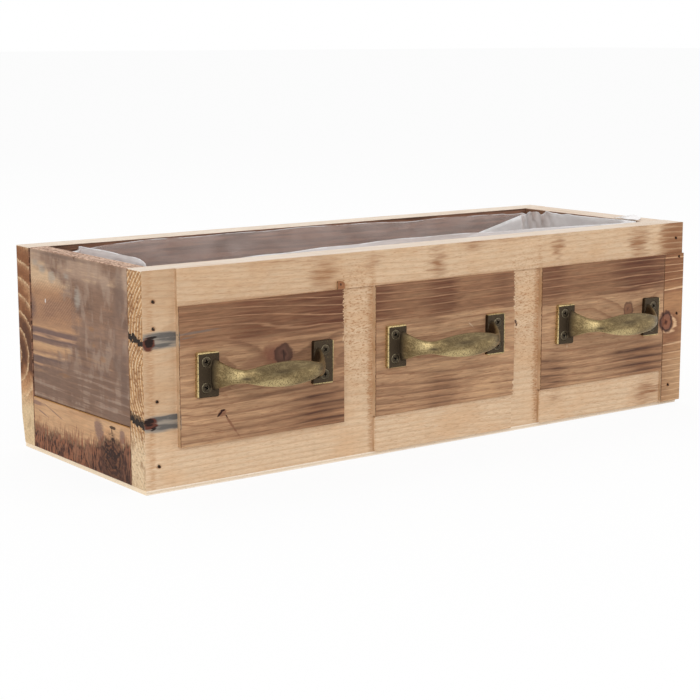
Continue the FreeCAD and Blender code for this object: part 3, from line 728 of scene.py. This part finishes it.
print("wood of the left end")
dress(makeLeftUpperWood(leftUpper), "left_end_upper_board")
dress(makeLeftLowerWood(leftLower), "left_end_lower_board")

# Plywood: three thin plies, pale faces and a browner middle with end grain showing on the edge
plywood = dict(thickness=3.0, plies=((0.0, "face"), (0.29, "face"), (0.33, "glue"), (0.37, "middle"),
                                     (0.63, "middle"), (0.67, "glue"), (0.71, "face")),
               face="#F0E3D2", middle="#E0CDB4", glue="#C4A683", pit="#BFA184", grain="#D2B083",
               cleanCut="#FFEBCE")


def makePlywood(look):
    material = newMaterial("palePlywood")
    tree = material.node_tree
    place = inMillimetres(tree)
    waver = 0.7
    up = addNode(tree, "SeparateXYZ", {0: place}, out=2)
    height = pushed(tree, up, (patches(tree, place, (9, 9, 2), 2), waver))
    share = addNode(tree, "MapRange", {"Value": height, "From Min": waver / 2,
                                       "From Max": look["thickness"] + waver / 2})
    plies = addNode(tree, "ValToRGB", {0: share}, stops=[(level, look[ply]) for level, ply in look["plies"]])
    normal = addNode(tree, "NewGeometry", out=3)
    facingAlong, _, facingUp = addNode(tree, "SeparateXYZ", {0: normal}).node.outputs[:]
    upright = within(tree, facingUp, 0.0, 0.5)
    grain = patches(tree, place, (60, 1.6, 1.6), 4)
    colour = coats(tree, look["face"],
                   (rise(tree, grain, 0.4, 0.7, 0.6), look["grain"]),
                   (product(tree, upright, 0.8), plies),
                   (product(tree, flecks(tree, place, (1.6, 1.6, 0.7), 3, 0.58, 0.70, 0.7), upright),
                    look["pit"]),
                   # the ends are a cleaner, paler cut
                   (inverse(tree, within(tree, facingAlong, 0.0, 0.5)), look["cleanCut"]))
    relief = addNode(tree, "Bump", {"Height": grain, "Strength": 0.2, "Distance": 0.5 * millimetre})
    shader = addNode(tree, "BsdfPrincipled", {"Base Color": colour, "Roughness": 0.75, "IOR": 1.45,
                                              "Specular IOR Level": 0.3, "Normal": relief})
    addNode(tree, "OutputMaterial", {"Surface": shader})
    return material


dress(makePlywood(plywood), "bottom_panel")

# Antique brass: cast, dipped dark and rubbed back, so the plates and hollows stay black-brown
# while the grip and the outer edges shine through dull yellow
brass = dict(
    rubbed="#98835D", dull="#6B5B3F", patinaAndShade="#42382E", worn="#D3BD8A", grain=0.9, rim=1.1,
    boardFace=-94.0,    # where the plates stand on the panels
    darkSpots=[(-31, -0.4, 6, 2.4, 0, 1.0), (31, 0, 8, 3.4, 0, 0.8), (-6, 2.4, 27, 5.6, 0, 0.9)],
    paintedHighlights=[(-12, -5.5, 24, 5.0, 0, 1.3), (-36, 1, 7, 7, 0, 0.9)],
)


def makeBrass(look, name):
    low, high = [[side / millimetre for side in corner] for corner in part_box(name)]
    material = newMaterial("antiqueBrass." + name)
    tree = material.node_tree
    middle = ((low[0] + high[0]) / 2, 0, (low[2] + high[2]) / 2)
    place = addNode(tree, "VectorMath", {0: inMillimetres(tree), 1: middle}, operation="SUBTRACT")
    across, out, up = addNode(tree, "SeparateXYZ", {0: place}).node.outputs[:]
    normal = addNode(tree, "NewGeometry", out=1)
    facingAcross, _, facingUp = addNode(tree, "SeparateXYZ", {0: normal}).node.outputs[:]
    mottle = patches(tree, place, (look["grain"],) * 3, 4)
    cloud = patches(tree, place, (8, 8, 4.5), 3)
    # patina: thickest on the plates, in the creases and on the roots' inner sides, which a hand rubs less;
    # the dark colour also goes on spots at the necks and mid grip, and as painted shade on the grip's upper
    # side
    standing = pushed(tree, look["boardFace"], (out, -1.0), (cloud, 4.0))
    plate = inverse(tree, rise(tree, standing, 5.0, 12.5))
    # darker spots at the necks and in the middle of the grip
    darkSpot = rise(tree, softSpots(tree, place, look["darkSpots"]), 0.05, 1.1, 0.9)
    openness = addNode(tree, "AmbientOcclusion", {"Distance": 3.0 * millimetre}, out=1, samples=6)
    crease = inverse(tree, rise(tree, openness, 0.35, 0.72))
    inner = rise(tree, product(tree, across, facingAcross, -1.0), 9, 24, 0.85)
    # painted shade: the grip's upper side darkened
    upperSideShade = product(tree, rise(tree, up, 0.5, 5.0, 0.5), rise(tree, across, -31, -19))
    patinaAndShade = combine(tree, "MAXIMUM", plate, darkSpot, crease, inner, upperSideShade)
    patinaAndShade = product(tree, patinaAndShade, rise(tree, mottle, 0.16, 0.46, 0.94))
    # painted highlights: a light band along the grip's lower part and a light patch at the left root
    paintedHighlights = product(tree, rise(tree, softSpots(tree, place, look["paintedHighlights"]), 0.05, 0.9, 0.72),
                      rise(tree, mottle, 0.30, 0.56))
    # rubbed bright: the plates' rims and end faces; the grip's steep edges, the lower one more, get a
    # painted highlight
    halfWide, halfHigh = (high[0] - low[0]) / 2, (high[2] - low[2]) / 2
    onRim = combine(tree, "MAXIMUM", inverse(tree, within(tree, across, 0.0, halfWide - look["rim"])),
                    inverse(tree, within(tree, up, 0.0, halfHigh - look["rim"])))
    # painted highlight on steep edges, set by which way they face, strongest facing down
    steep = addNode(tree, "Math", {0: facingUp}, operation="ABSOLUTE")
    facingHighlight = product(tree, rise(tree, steep, 0.50, 0.90, 0.7), rise(tree, standing, 9, 13),
                    rise(tree, mottle, 0.2, 0.5), inverse(tree, rise(tree, facingUp, 0.0, 0.4, 0.7)))
    edge = combine(tree, "MAXIMUM", product(tree, onRim, rise(tree, mottle, 0.30, 0.52, 0.95)), facingHighlight)
    colour = coats(tree, look["dull"],
                   (rise(tree, mottle, 0.36, 0.62, 0.8), look["rubbed"]),
                   (rise(tree, cloud, 0.46, 0.60, 0.6), look["dull"]),
                   (flecks(tree, place, (6, 6, 2.4), 5, 0.50, 0.74, 0.28), look["worn"]),
                   # the worn colour also paints the highlights, and the patina colour the painted shade
                   (paintedHighlights, look["worn"]), (patinaAndShade, look["patinaAndShade"]), (edge, look["worn"]))
    rough = addNode(tree, "MapRange", {"Value": pushed(tree, mottle, (patinaAndShade, 0.35)), "From Min": 0.2,
                                       "From Max": 1.0, "To Min": 0.32, "To Max": 0.60})
    rounded = addNode(tree, "Bevel", {"Radius": 0.6 * millimetre}, samples=6)
    relief = addNode(tree, "Bump", {"Height": mottle, "Strength": 0.3, "Distance": 0.25 * millimetre,
                                    "Normal": rounded})
    shader = addNode(tree, "BsdfPrincipled", {"Base Color": colour, "Metallic": 1.0, "Roughness": rough,
                                              "Normal": relief})
    addNode(tree, "OutputMaterial", {"Surface": shader})
    return material


# Bronzed steel screws and bare steel brads: dark, the screws with a dull light ring on each head's rim as a
# painted highlight and black in the recesses as painted shade
screwSteel = dict(base="#4A4032", dust="#3A3229", rim="#CDBE9A", recess="#0D0B09", roughness=0.38,
                  rimHighlightBelow=(0.30, 0.42), recessBelow=(0.46, 0.54))    # below the top of a head's dome
bradSteel = dict(base="#5A5148", dust="#3A3229", roughness=0.5)


def makeDarkMetal(name, look, headTop=None):
    material = newMaterial(name)
    tree = material.node_tree
    place = inMillimetres(tree)
    mottle = patches(tree, place, (0.8, 0.8, 0.8), 3)
    colour = coats(tree, look["base"], (rise(tree, mottle, 0.4, 0.65, 0.4), look["dust"]))
    if headTop is not None:
        depth = addNode(tree, "SeparateXYZ", {0: place}, out=1)
        sunk = combine(tree, "SUBTRACT", depth, headTop)
        # a painted highlight ring on the head's rim, and painted shade in its recess
        colour = coats(tree, colour, (rise(tree, sunk, *look["rimHighlightBelow"], 0.5), look["rim"]),
                       (rise(tree, sunk, *look["recessBelow"]), look["recess"]))
    rounded = addNode(tree, "Bevel", {"Radius": 0.6 * millimetre}, samples=6)
    relief = addNode(tree, "Bump", {"Height": mottle, "Strength": 0.2, "Distance": 0.1 * millimetre,
                                    "Normal": rounded})
    shader = addNode(tree, "BsdfPrincipled", {"Base Color": colour, "Metallic": 0.9,
                                              "Roughness": look["roughness"], "Normal": relief})
    addNode(tree, "OutputMaterial", {"Surface": shader})
    return material


print("pulls, screws and brads")
for side in pullSides:
    dress(makeBrass(brass, side + "_pull"), side + "_pull")
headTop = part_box("left_pull_screws")[0][1] / millimetre
dress(makeDarkMetal("bronzedSteel", screwSteel, headTop), *[side + "_pull_screws" for side in pullSides])
dress(makeDarkMetal("bareSteel", bradSteel), "front_left_brads", "front_right_brads", "back_left_brads",
      "back_right_brads", "bottom_brads")

# The film liner: a tray of milky polyethylene film, folded up from one sheet and leaning in at the top.
# Each side's table gives, along the side, how far the edge leans in and how high it stands, in millimetres.
liner = dict(
    sides=dict(front=-70.0, right=230.0, back=73.7, left=-239.5), floor=3.0, gap=0.5, film=0.2,
    cornerRadius=9.0, footRadius=5.0, rows=44, upright=0.30,
    front=[(-239.5, 1.0, 148.0), (-190, 1.2, 149.0), (-165, 1.5, 150.0), (-146, 2.5, 150.9),
           (-120, 5.5, 151.2), (-78, 14, 151.2), (-8, 20, 151.2), (39, 19.5, 151.2), (90, 18, 151.1),
           (150, 13.5, 151.0), (183, 3.5, 150.8), (205, 1.2, 150.4), (230, 1.0, 151.0)],
    right=[(-70, 1.0, 151.0), (-52, 1.0, 150.6), (-35, 1.2, 150.2), (-3, 1.4, 150.6), (20, 1.6, 150.6),
           (42, 2.0, 150.0), (60, 3.0, 148.8), (73.7, 3.0, 147.0)],
    back=[(-239.5, 20, 147.0), (-212, 8, 147.2), (-190, 3.0, 149.0), (-160, 1.2, 149.9), (-100, 1.0, 150.0),
          (0, 1.0, 149.7), (60, 1.2, 149.2), (100, 1.4, 148.3), (140, 1.2, 148.7), (180, 1.4, 147.8),
          (205, 1.6, 146.9), (230, 2.0, 147.0)],
    left=[(-70, 1.2, 151.0), (-60, 5.0, 151.0), (-45, 10.5, 151.2), (-24, 17, 151.5), (25, 17.8, 151.5),
          (62, 20, 151.0), (73.7, 22, 148.0)],
    crumple=dict(y=48, halfX=30, halfY=26), ripple=0.7, swell=0.9, flatWidth=0.437, flatLength=0.763,
    # white paints light on the lit walls and the flaps, and edge is a painted highlight on the cut edge
    tint="#E6D3CB", white="#FCFBFB", edge="#F9F8F8",
    # a corner flap: its corner on the long side, its reach along the wall, the heights of its upper edge
    # at the corner and at the tip, and how far it stands off the film
    flaps=[dict(side="back", corner=225.5, reach=-130, tops=(146.8, 114), stand=0.8),
           dict(side="back", corner=-232, reach=96, tops=(144.5, 112), stand=0.9),
           dict(side="front", corner=-232, reach=104, tops=(143.5, 110), stand=0.8),
           dict(side="front", corner=225, reach=-98, tops=(147.0, 114), stand=0.8)],
    flapFoot=8,
    # the loose tip: where it starts, its reach over the rim, its length, its slant, its arch and its ruffle
    tip=dict(start=(228.5, -38.0, 151.5), reach=13.5, length=24.0, slant=4.0, arch=2.6, ruffle=0.5),
)


# the film stands upright for a share of its height and leans in more and more above it
def leanShare(look, t):
    return np.clip((t - look["upright"]) / (1 - look["upright"]), 0, 1) ** 1.6


# points of the outline moved inward by a distance, at a height
def movedIn(outline, inward, distance, z):
    x, y = [outline[:, axis, None] + inward[:, axis, None] * distance for axis in (0, 1)]
    return np.stack(np.broadcast_arrays(x, y, z), 2)


# the tray's outline: a rectangle whose corners are quarter circles, walked round once
def trayOutline(look):
    sides, gap, r = look["sides"], look["gap"], look["cornerRadius"]
    x0, x1, y0, y1 = sides["left"] + gap, sides["right"] - gap, sides["front"] + gap, sides["back"] - gap
    arc = np.linspace(0, math.pi / 2, 13)[1:-1]
    runX, runY = np.linspace(x0 + r, x1 - r, 231), np.linspace(y0 + r, y1 - r, 71)
    outline = []
    for turn, (x, y) in enumerate(((runX, y0), (x1, runY), (runX[::-1], y1), (x0, runY[::-1]))):
        straight = np.stack(np.broadcast_arrays(x, y), 1)
        start = (turn - 1) * math.pi / 2
        middle = straight[-1] - r * np.array([math.cos(start), math.sin(start)])
        corner = middle + r * np.stack([np.cos(start + arc), np.sin(start + arc)], 1)
        outline += [straight, corner]
    return np.concatenate(outline), (x0, x1, y0, y1)


# The tray's wall is a profile carried round the box. At share t of the height, a wall point lies inward of
# the board by gap + lean * leanShare(t), plus slow waves that grow with t; the floor is the foot line shrunk
# to a middle line.
def makeLiner(look):
    outline, (x0, x1, y0, y1) = trayOutline(look)
    run = np.roll(outline, -1, 0) - np.roll(outline, 1, 0)
    inward = np.stack([-run[:, 1], run[:, 0]], 1) / np.linalg.norm(run, axis=1)[:, None]
    walked = np.concatenate([[0], np.cumsum(np.linalg.norm(np.diff(outline, axis=0), axis=1))])

    # lean and height: each side's table, shared out by how much a point faces that side
    edge, weight = np.zeros((2, len(outline))), np.zeros(len(outline))
    for side, axis, towards in (("front", 0, (0, 1)), ("right", 1, (-1, 0)),
                                ("back", 0, (0, -1)), ("left", 1, (1, 0))):
        at, *tables = np.array(look[side]).T
        share = np.maximum(inward @ np.array(towards), 0) ** 2
        edge += share * np.array([np.interp(outline[:, axis], at, table) for table in tables])
        weight += share
    smooth = np.ones(9) / 9
    lean, top = [np.convolve(np.concatenate([line[-4:], line, line[:4]]), smooth, "valid")
                 for line in edge / weight]

    # the back right corner is crumpled, and the rest only waves
    fold = look["crumple"]
    crumple = np.exp(-(((outline[:, 0] - x1) / fold["halfX"]) ** 2
                       + ((outline[:, 1] - fold["y"]) / fold["halfY"]) ** 2))
    s = walked[:, None]
    t = np.linspace(0, 1, look["rows"])[None, :]
    floor = look["floor"] + look["gap"]
    foot = floor + look["footRadius"]
    z = foot + t * (top[:, None] - foot)
    wave = look["ripple"] * t ** 1.5 * (
        1 + 0.6 * np.sin(s / 23.0 + 2 * t) + 0.4 * np.sin(s / 9.7 + 5 * t + 1.3))
    creases = crumple[:, None] * t ** 2 * (
        2.2 * np.abs(np.sin(s / 5.1 + z / 9.0)) + 1.8 * np.abs(np.sin(s / 3.3 - z / 6.0 + 1.0))
        + 1.0 * np.sin(s / 2.1 + z / 4.0) ** 2)
    edgeWave = (0.35 * np.sin(walked / 31.0) + 0.25 * np.sin(walked / 11.0 + 1.0)
                + crumple * (1.2 * np.sin(walked / 3.4) + 0.8 * np.sin(walked / 1.9)))
    inside = lean[:, None] * leanShare(look, t) + wave + creases
    wall = movedIn(outline, inward, inside, z + edgeWave[:, None] * t ** 6)

    # the foot bends round to the floor, which closes on a middle line
    turn = np.linspace(0, math.pi / 2, 7)[:-1][None, :]
    bend = movedIn(outline, inward, look["footRadius"] * (1 - np.sin(turn)),
                   floor + look["footRadius"] * (1 - np.cos(turn)))
    half = (y1 - y0) / 2
    middle = np.stack([np.clip(outline[:, 0], x0 + half, x1 - half),
                       np.full(len(outline), (y0 + y1) / 2)], 1)
    shrink = np.linspace(0, 1, 15)[:-1][None, :, None]
    flat = middle[:, None, :] * (1 - shrink) + (outline + inward * look["footRadius"])[:, None, :] * shrink
    swell = look["swell"] * (np.sin(flat[:, :, 0] / 27.0) * np.sin(flat[:, :, 1] / 19.0 + 0.6)) ** 2
    swell = swell * (1 - shrink[:, :, 0] ** 6)
    bottom = np.concatenate([flat, (floor + swell)[:, :, None]], 2)
    return np.concatenate([bottom, bend, wall], 1), outline, inward, lean, top


# A corner flap: the sheet's spare corner, folded flat against the long wall. It is a triangle with one side
# up the corner and its tip along the wall, given as a grid of share a along the wall and share b up it.
def flapGrid(look, flap, outline, inward, lean, top):
    a, b = np.linspace(0, 1, 45)[:, None], np.linspace(0, 1, 31)[None, :]
    x = flap["corner"] + flap["reach"] * a + 0 * b
    upper = flap["tops"][0] + (flap["tops"][1] - flap["tops"][0]) * a
    lower = look["flapFoot"] + (flap["tops"][1] - look["flapFoot"] - 0.5) * a ** 0.9
    z = lower + (upper - lower) * b
    facing = 1.0 if flap["side"] == "front" else -1.0
    chosen = inward[:, 1] * facing > 0.999
    order = np.argsort(outline[chosen, 0])
    leanHere, topHere = [np.interp(x, outline[chosen, 0][order], line[chosen][order])
                         for line in (lean, top)]
    foot = look["floor"] + look["footRadius"]
    t = np.clip((z - foot) / (topHere - foot), 0, 1)
    stand = (look["gap"] + look["ripple"] * 2.0 * t ** 1.5 + flap["stand"]
             + 0.5 * np.sin(x / 13.0) * np.sin(z / 21.0) ** 2 + 0.5 * a)
    y = look["sides"][flap["side"]] + facing * (leanHere * leanShare(look, t) + stand)
    return np.stack([x, y, z], 2)


# A loose tip of the cut edge laid over the right rim: a triangle from the film's edge, arched by a half sine
def tipGrid(tip):
    a, b = np.linspace(0, 1, 25)[:, None], np.linspace(0, 1, 13)[None, :]
    x0, y0, z0 = tip["start"]
    x = x0 + tip["reach"] * b * np.sin(math.pi * (0.15 + 0.7 * a))
    y = y0 - tip["length"] * a - tip["slant"] * b * (1 - a)
    z = (z0 + tip["arch"] * np.sin(math.pi * b * 0.8) * np.sin(math.pi * a)
         + tip["ruffle"] * np.sin(5 * a + 3 * b) ** 2)
    return np.stack(np.broadcast_arrays(x, y, z), 2)


# Milky film veils what lies behind it. Its colour is whiter, as painted light, where it leans to the light
# at the front and left and on the right wall, and whiter and denser where the flaps double it, partly as
# painted light; its cut edge has a painted highlight
def makeFilm(look):
    material = newMaterial("milkyPolyethyleneFilm")
    tree = material.node_tree
    sheet = addNode(tree, "TexCoord", out=2)
    alongSheet, upSheet, _ = addNode(tree, "SeparateXYZ", {0: sheet}).node.outputs[:]
    folded = rise(tree, alongSheet, 1.4, 1.6)
    place = inMillimetres(tree)
    x, y, _ = addNode(tree, "SeparateXYZ", {0: place}).node.outputs[:]
    soft = patches(tree, place, (16, 16, 10), 2)
    fine = patches(tree, place, (3, 3, 3), 4)
    # a painted highlight along the cut edge
    edge = product(tree, rise(tree, upSheet, 0.995, 0.9995),
                   flecks(tree, place, (18, 18, 18), 3, 0.35, 0.60))
    # denser and whiter at the front and left, where the film leans in: painted light
    leaning = combine(tree, "MAXIMUM", rise(tree, product(tree, y, -1.0), 44, 54, 0.48),
                      rise(tree, product(tree, x, -1.0), 214, 224, 0.44))
    haze = spread(tree, patches(tree, place, (24, 24, 16), 3), 0.17, 0.30)
    # the right wall is denser too: painted light
    alpha = combine(tree, "ADD", haze, leaning, rise(tree, x, 219, 226, 0.32))
    alpha = pushed(tree, alpha, (folded, 0.52))
    alpha = addNode(tree, "Math", {0: edge, 1: 0.35, 2: alpha}, operation="MULTIPLY_ADD", use_clamp=True)
    # whiter: painted light on the leaning walls and the right wall, and partly on the flaps
    whiter = combine(tree, "MAXIMUM", folded, rise(tree, x, 219, 226), product(tree, leaning, 1.6))
    colour = coats(tree, look["tint"], (product(tree, whiter, 0.85), look["white"]), (edge, look["edge"]))
    relief = addNode(tree, "Bump", {"Height": soft, "Strength": 0.5, "Distance": 3.0 * millimetre})
    relief = addNode(tree, "Bump", {"Height": fine, "Strength": 0.15, "Distance": 0.4 * millimetre,
                                    "Normal": relief})
    shader = addNode(tree, "BsdfPrincipled", {"Base Color": colour, "Roughness": 0.28, "IOR": 1.5,
                                              "Alpha": alpha, "Normal": relief})
    addNode(tree, "OutputMaterial", {"Surface": shader})
    return material


# The film's grids as one mesh. Each has its own stretch of the sheet's coordinates: the tray from 0 to 1,
# the tip from 1, the flaps from 2, and upwards 1 at the cut edge.
def buildLiner(look):
    tray, *shape = makeLiner(look)
    grids = [(tray, True, (0, 1), (0, 1))]
    grids += [(flapGrid(look, flap, *shape), False, (2, 3), (0.9, 1.0)) for flap in look["flaps"]]
    grids += [(tipGrid(look["tip"]), False, (1, 1.2), (0.9, 0.999))]
    points, quads, coords = [], [], []
    start = 0
    for grid, closed, alongSheet, upSheet in grids:
        columns, rows = grid.shape[:2]
        c = np.arange(columns if closed else columns - 1)[:, None]
        row = np.arange(rows - 1)[None, :]
        here, ahead = c * rows + row, (c + 1) % columns * rows + row
        quads.append(np.stack([here, ahead, ahead + 1, here + 1], 2).reshape(-1, 4) + start)
        coords.append(np.stack(np.meshgrid(np.linspace(*alongSheet, columns), np.linspace(*upSheet, rows),
                                           indexing="ij"), 2).reshape(-1, 2))
        points.append(grid.reshape(-1, 3))
        start += columns * rows
    points = np.concatenate(points) * millimetre
    quads, coords = np.concatenate(quads), np.concatenate(coords)
    mesh = bpy.data.meshes.new("linerFilm")
    mesh.from_pydata(points.tolist(), [], quads.tolist())
    layer = mesh.uv_layers.new(name="sheet")
    layer.data.foreach_set("uv", coords[quads.ravel()].astype(np.float32).ravel())
    mesh.polygons.foreach_set("use_smooth", np.ones(len(quads), bool))
    mesh.update()
    film = bpy.data.objects.new("liner_film", mesh)
    bpy.context.scene.collection.objects.link(film)
    mesh.materials.append(makeFilm(look))
    thickness = film.modifiers.new("filmThickness", "SOLIDIFY")
    thickness.thickness = look["film"] * millimetre
    thickness.offset = 0.0
    return film


print("film liner")
film = buildLiner(liner)
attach(film, "root")
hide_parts("film_liner")

# Studio: pale floor, white surroundings, one broad lamp from the front left and two fills
studio = dict(
    camera=(-0.8141, -1.0756, 0.3022), target=(-0.0177, 0.0010, 0.0602), roll=-0.07, lens=89.6,
    lamps=[((-1.5, -2.1, 1.1), 1.8, 26.0), ((1.6, -1.6, 0.7), 1.4, 7.0), ((0.2, 1.3, 1.9), 1.6, 10.0)],
    lampTarget=(0, 0, 0.07), ambient=0.66, floorSize=60.0, floorDrop=0.2, floorColour="#F7F7F7",
    floorGlow=1.01, glowShare=0.9,
)


# 1 for the rays that the camera, a gloss or a clear film sends straight to the surroundings
def seenDirectly(tree):
    seen = addNode(tree, "LightPath")
    glossy, through = [seen.node.outputs[ray] for ray in ("Is Glossy Ray", "Is Transmission Ray")]
    return combine(tree, "MAXIMUM", seen, glossy, through)


def buildCamera(look):
    scene = bpy.context.scene
    camera = bpy.data.objects.new("camera", bpy.data.cameras.new("camera"))
    scene.collection.objects.link(camera)
    camera.data.lens = look["lens"]
    camera.data.sensor_width = 36.0
    place, target = Vector(look["camera"]), Vector(look["target"])
    turn = (target - place).to_track_quat("-Z", "Y").to_matrix().to_4x4()
    turn.translation = place
    camera.matrix_world = turn
    camera.rotation_euler.rotate_axis("Z", math.radians(look["roll"]))
    scene.camera = camera


def buildLamps(look):
    for index, (spot, size, power) in enumerate(look["lamps"]):
        lamp = bpy.data.lights.new(f"softLamp{index}", "AREA")
        lamp.size, lamp.energy = size, power
        holder = bpy.data.objects.new(f"softLamp{index}", lamp)
        bpy.context.scene.collection.objects.link(holder)
        holder.location = spot
        towards = Vector(look["lampTarget"]) - Vector(spot)
        holder.rotation_euler = towards.to_track_quat("-Z", "Y").to_euler()


# a floor just under the object, pale and nearly white to the camera, so that only the shadow shows
def buildFloor(look):
    half, below = look["floorSize"] / 2, -look["floorDrop"] * millimetre
    mesh = bpy.data.meshes.new("floor")
    corners = [(x * half, y * half, below) for x, y in ((-1, -1), (1, -1), (1, 1), (-1, 1))]
    mesh.from_pydata(corners, [], [(0, 1, 2, 3)])
    floor = bpy.data.objects.new("floor", mesh)
    bpy.context.scene.collection.objects.link(floor)
    material = newMaterial("paleFloor")
    tree = material.node_tree
    matt = addNode(tree, "BsdfDiffuse", {"Color": look["floorColour"]})
    glow = addNode(tree, "Emission", {"Color": (1, 1, 1, 1), "Strength": look["floorGlow"]})
    shader = addNode(tree, "MixShader", {0: product(tree, seenDirectly(tree), look["glowShare"]),
                                         1: matt, 2: glow})
    addNode(tree, "OutputMaterial", {"Surface": shader})
    mesh.materials.append(material)


def buildSurroundings(look):
    world = bpy.data.worlds.new("studio")
    bpy.context.scene.world = world
    world.use_nodes = True
    tree = world.node_tree
    tree.nodes.clear()
    strength = addNode(tree, "Mix", {0: seenDirectly(tree), 2: look["ambient"], 3: 1.0})
    light = addNode(tree, "Background", {"Color": (1, 1, 1, 1), "Strength": strength})
    addNode(tree, "OutputWorld", {"Surface": light})
    bpy.context.scene.view_settings.view_transform = "Standard"


print("studio")
buildCamera(studio)
buildLamps(studio)
buildFloor(studio)
buildSurroundings(studio)
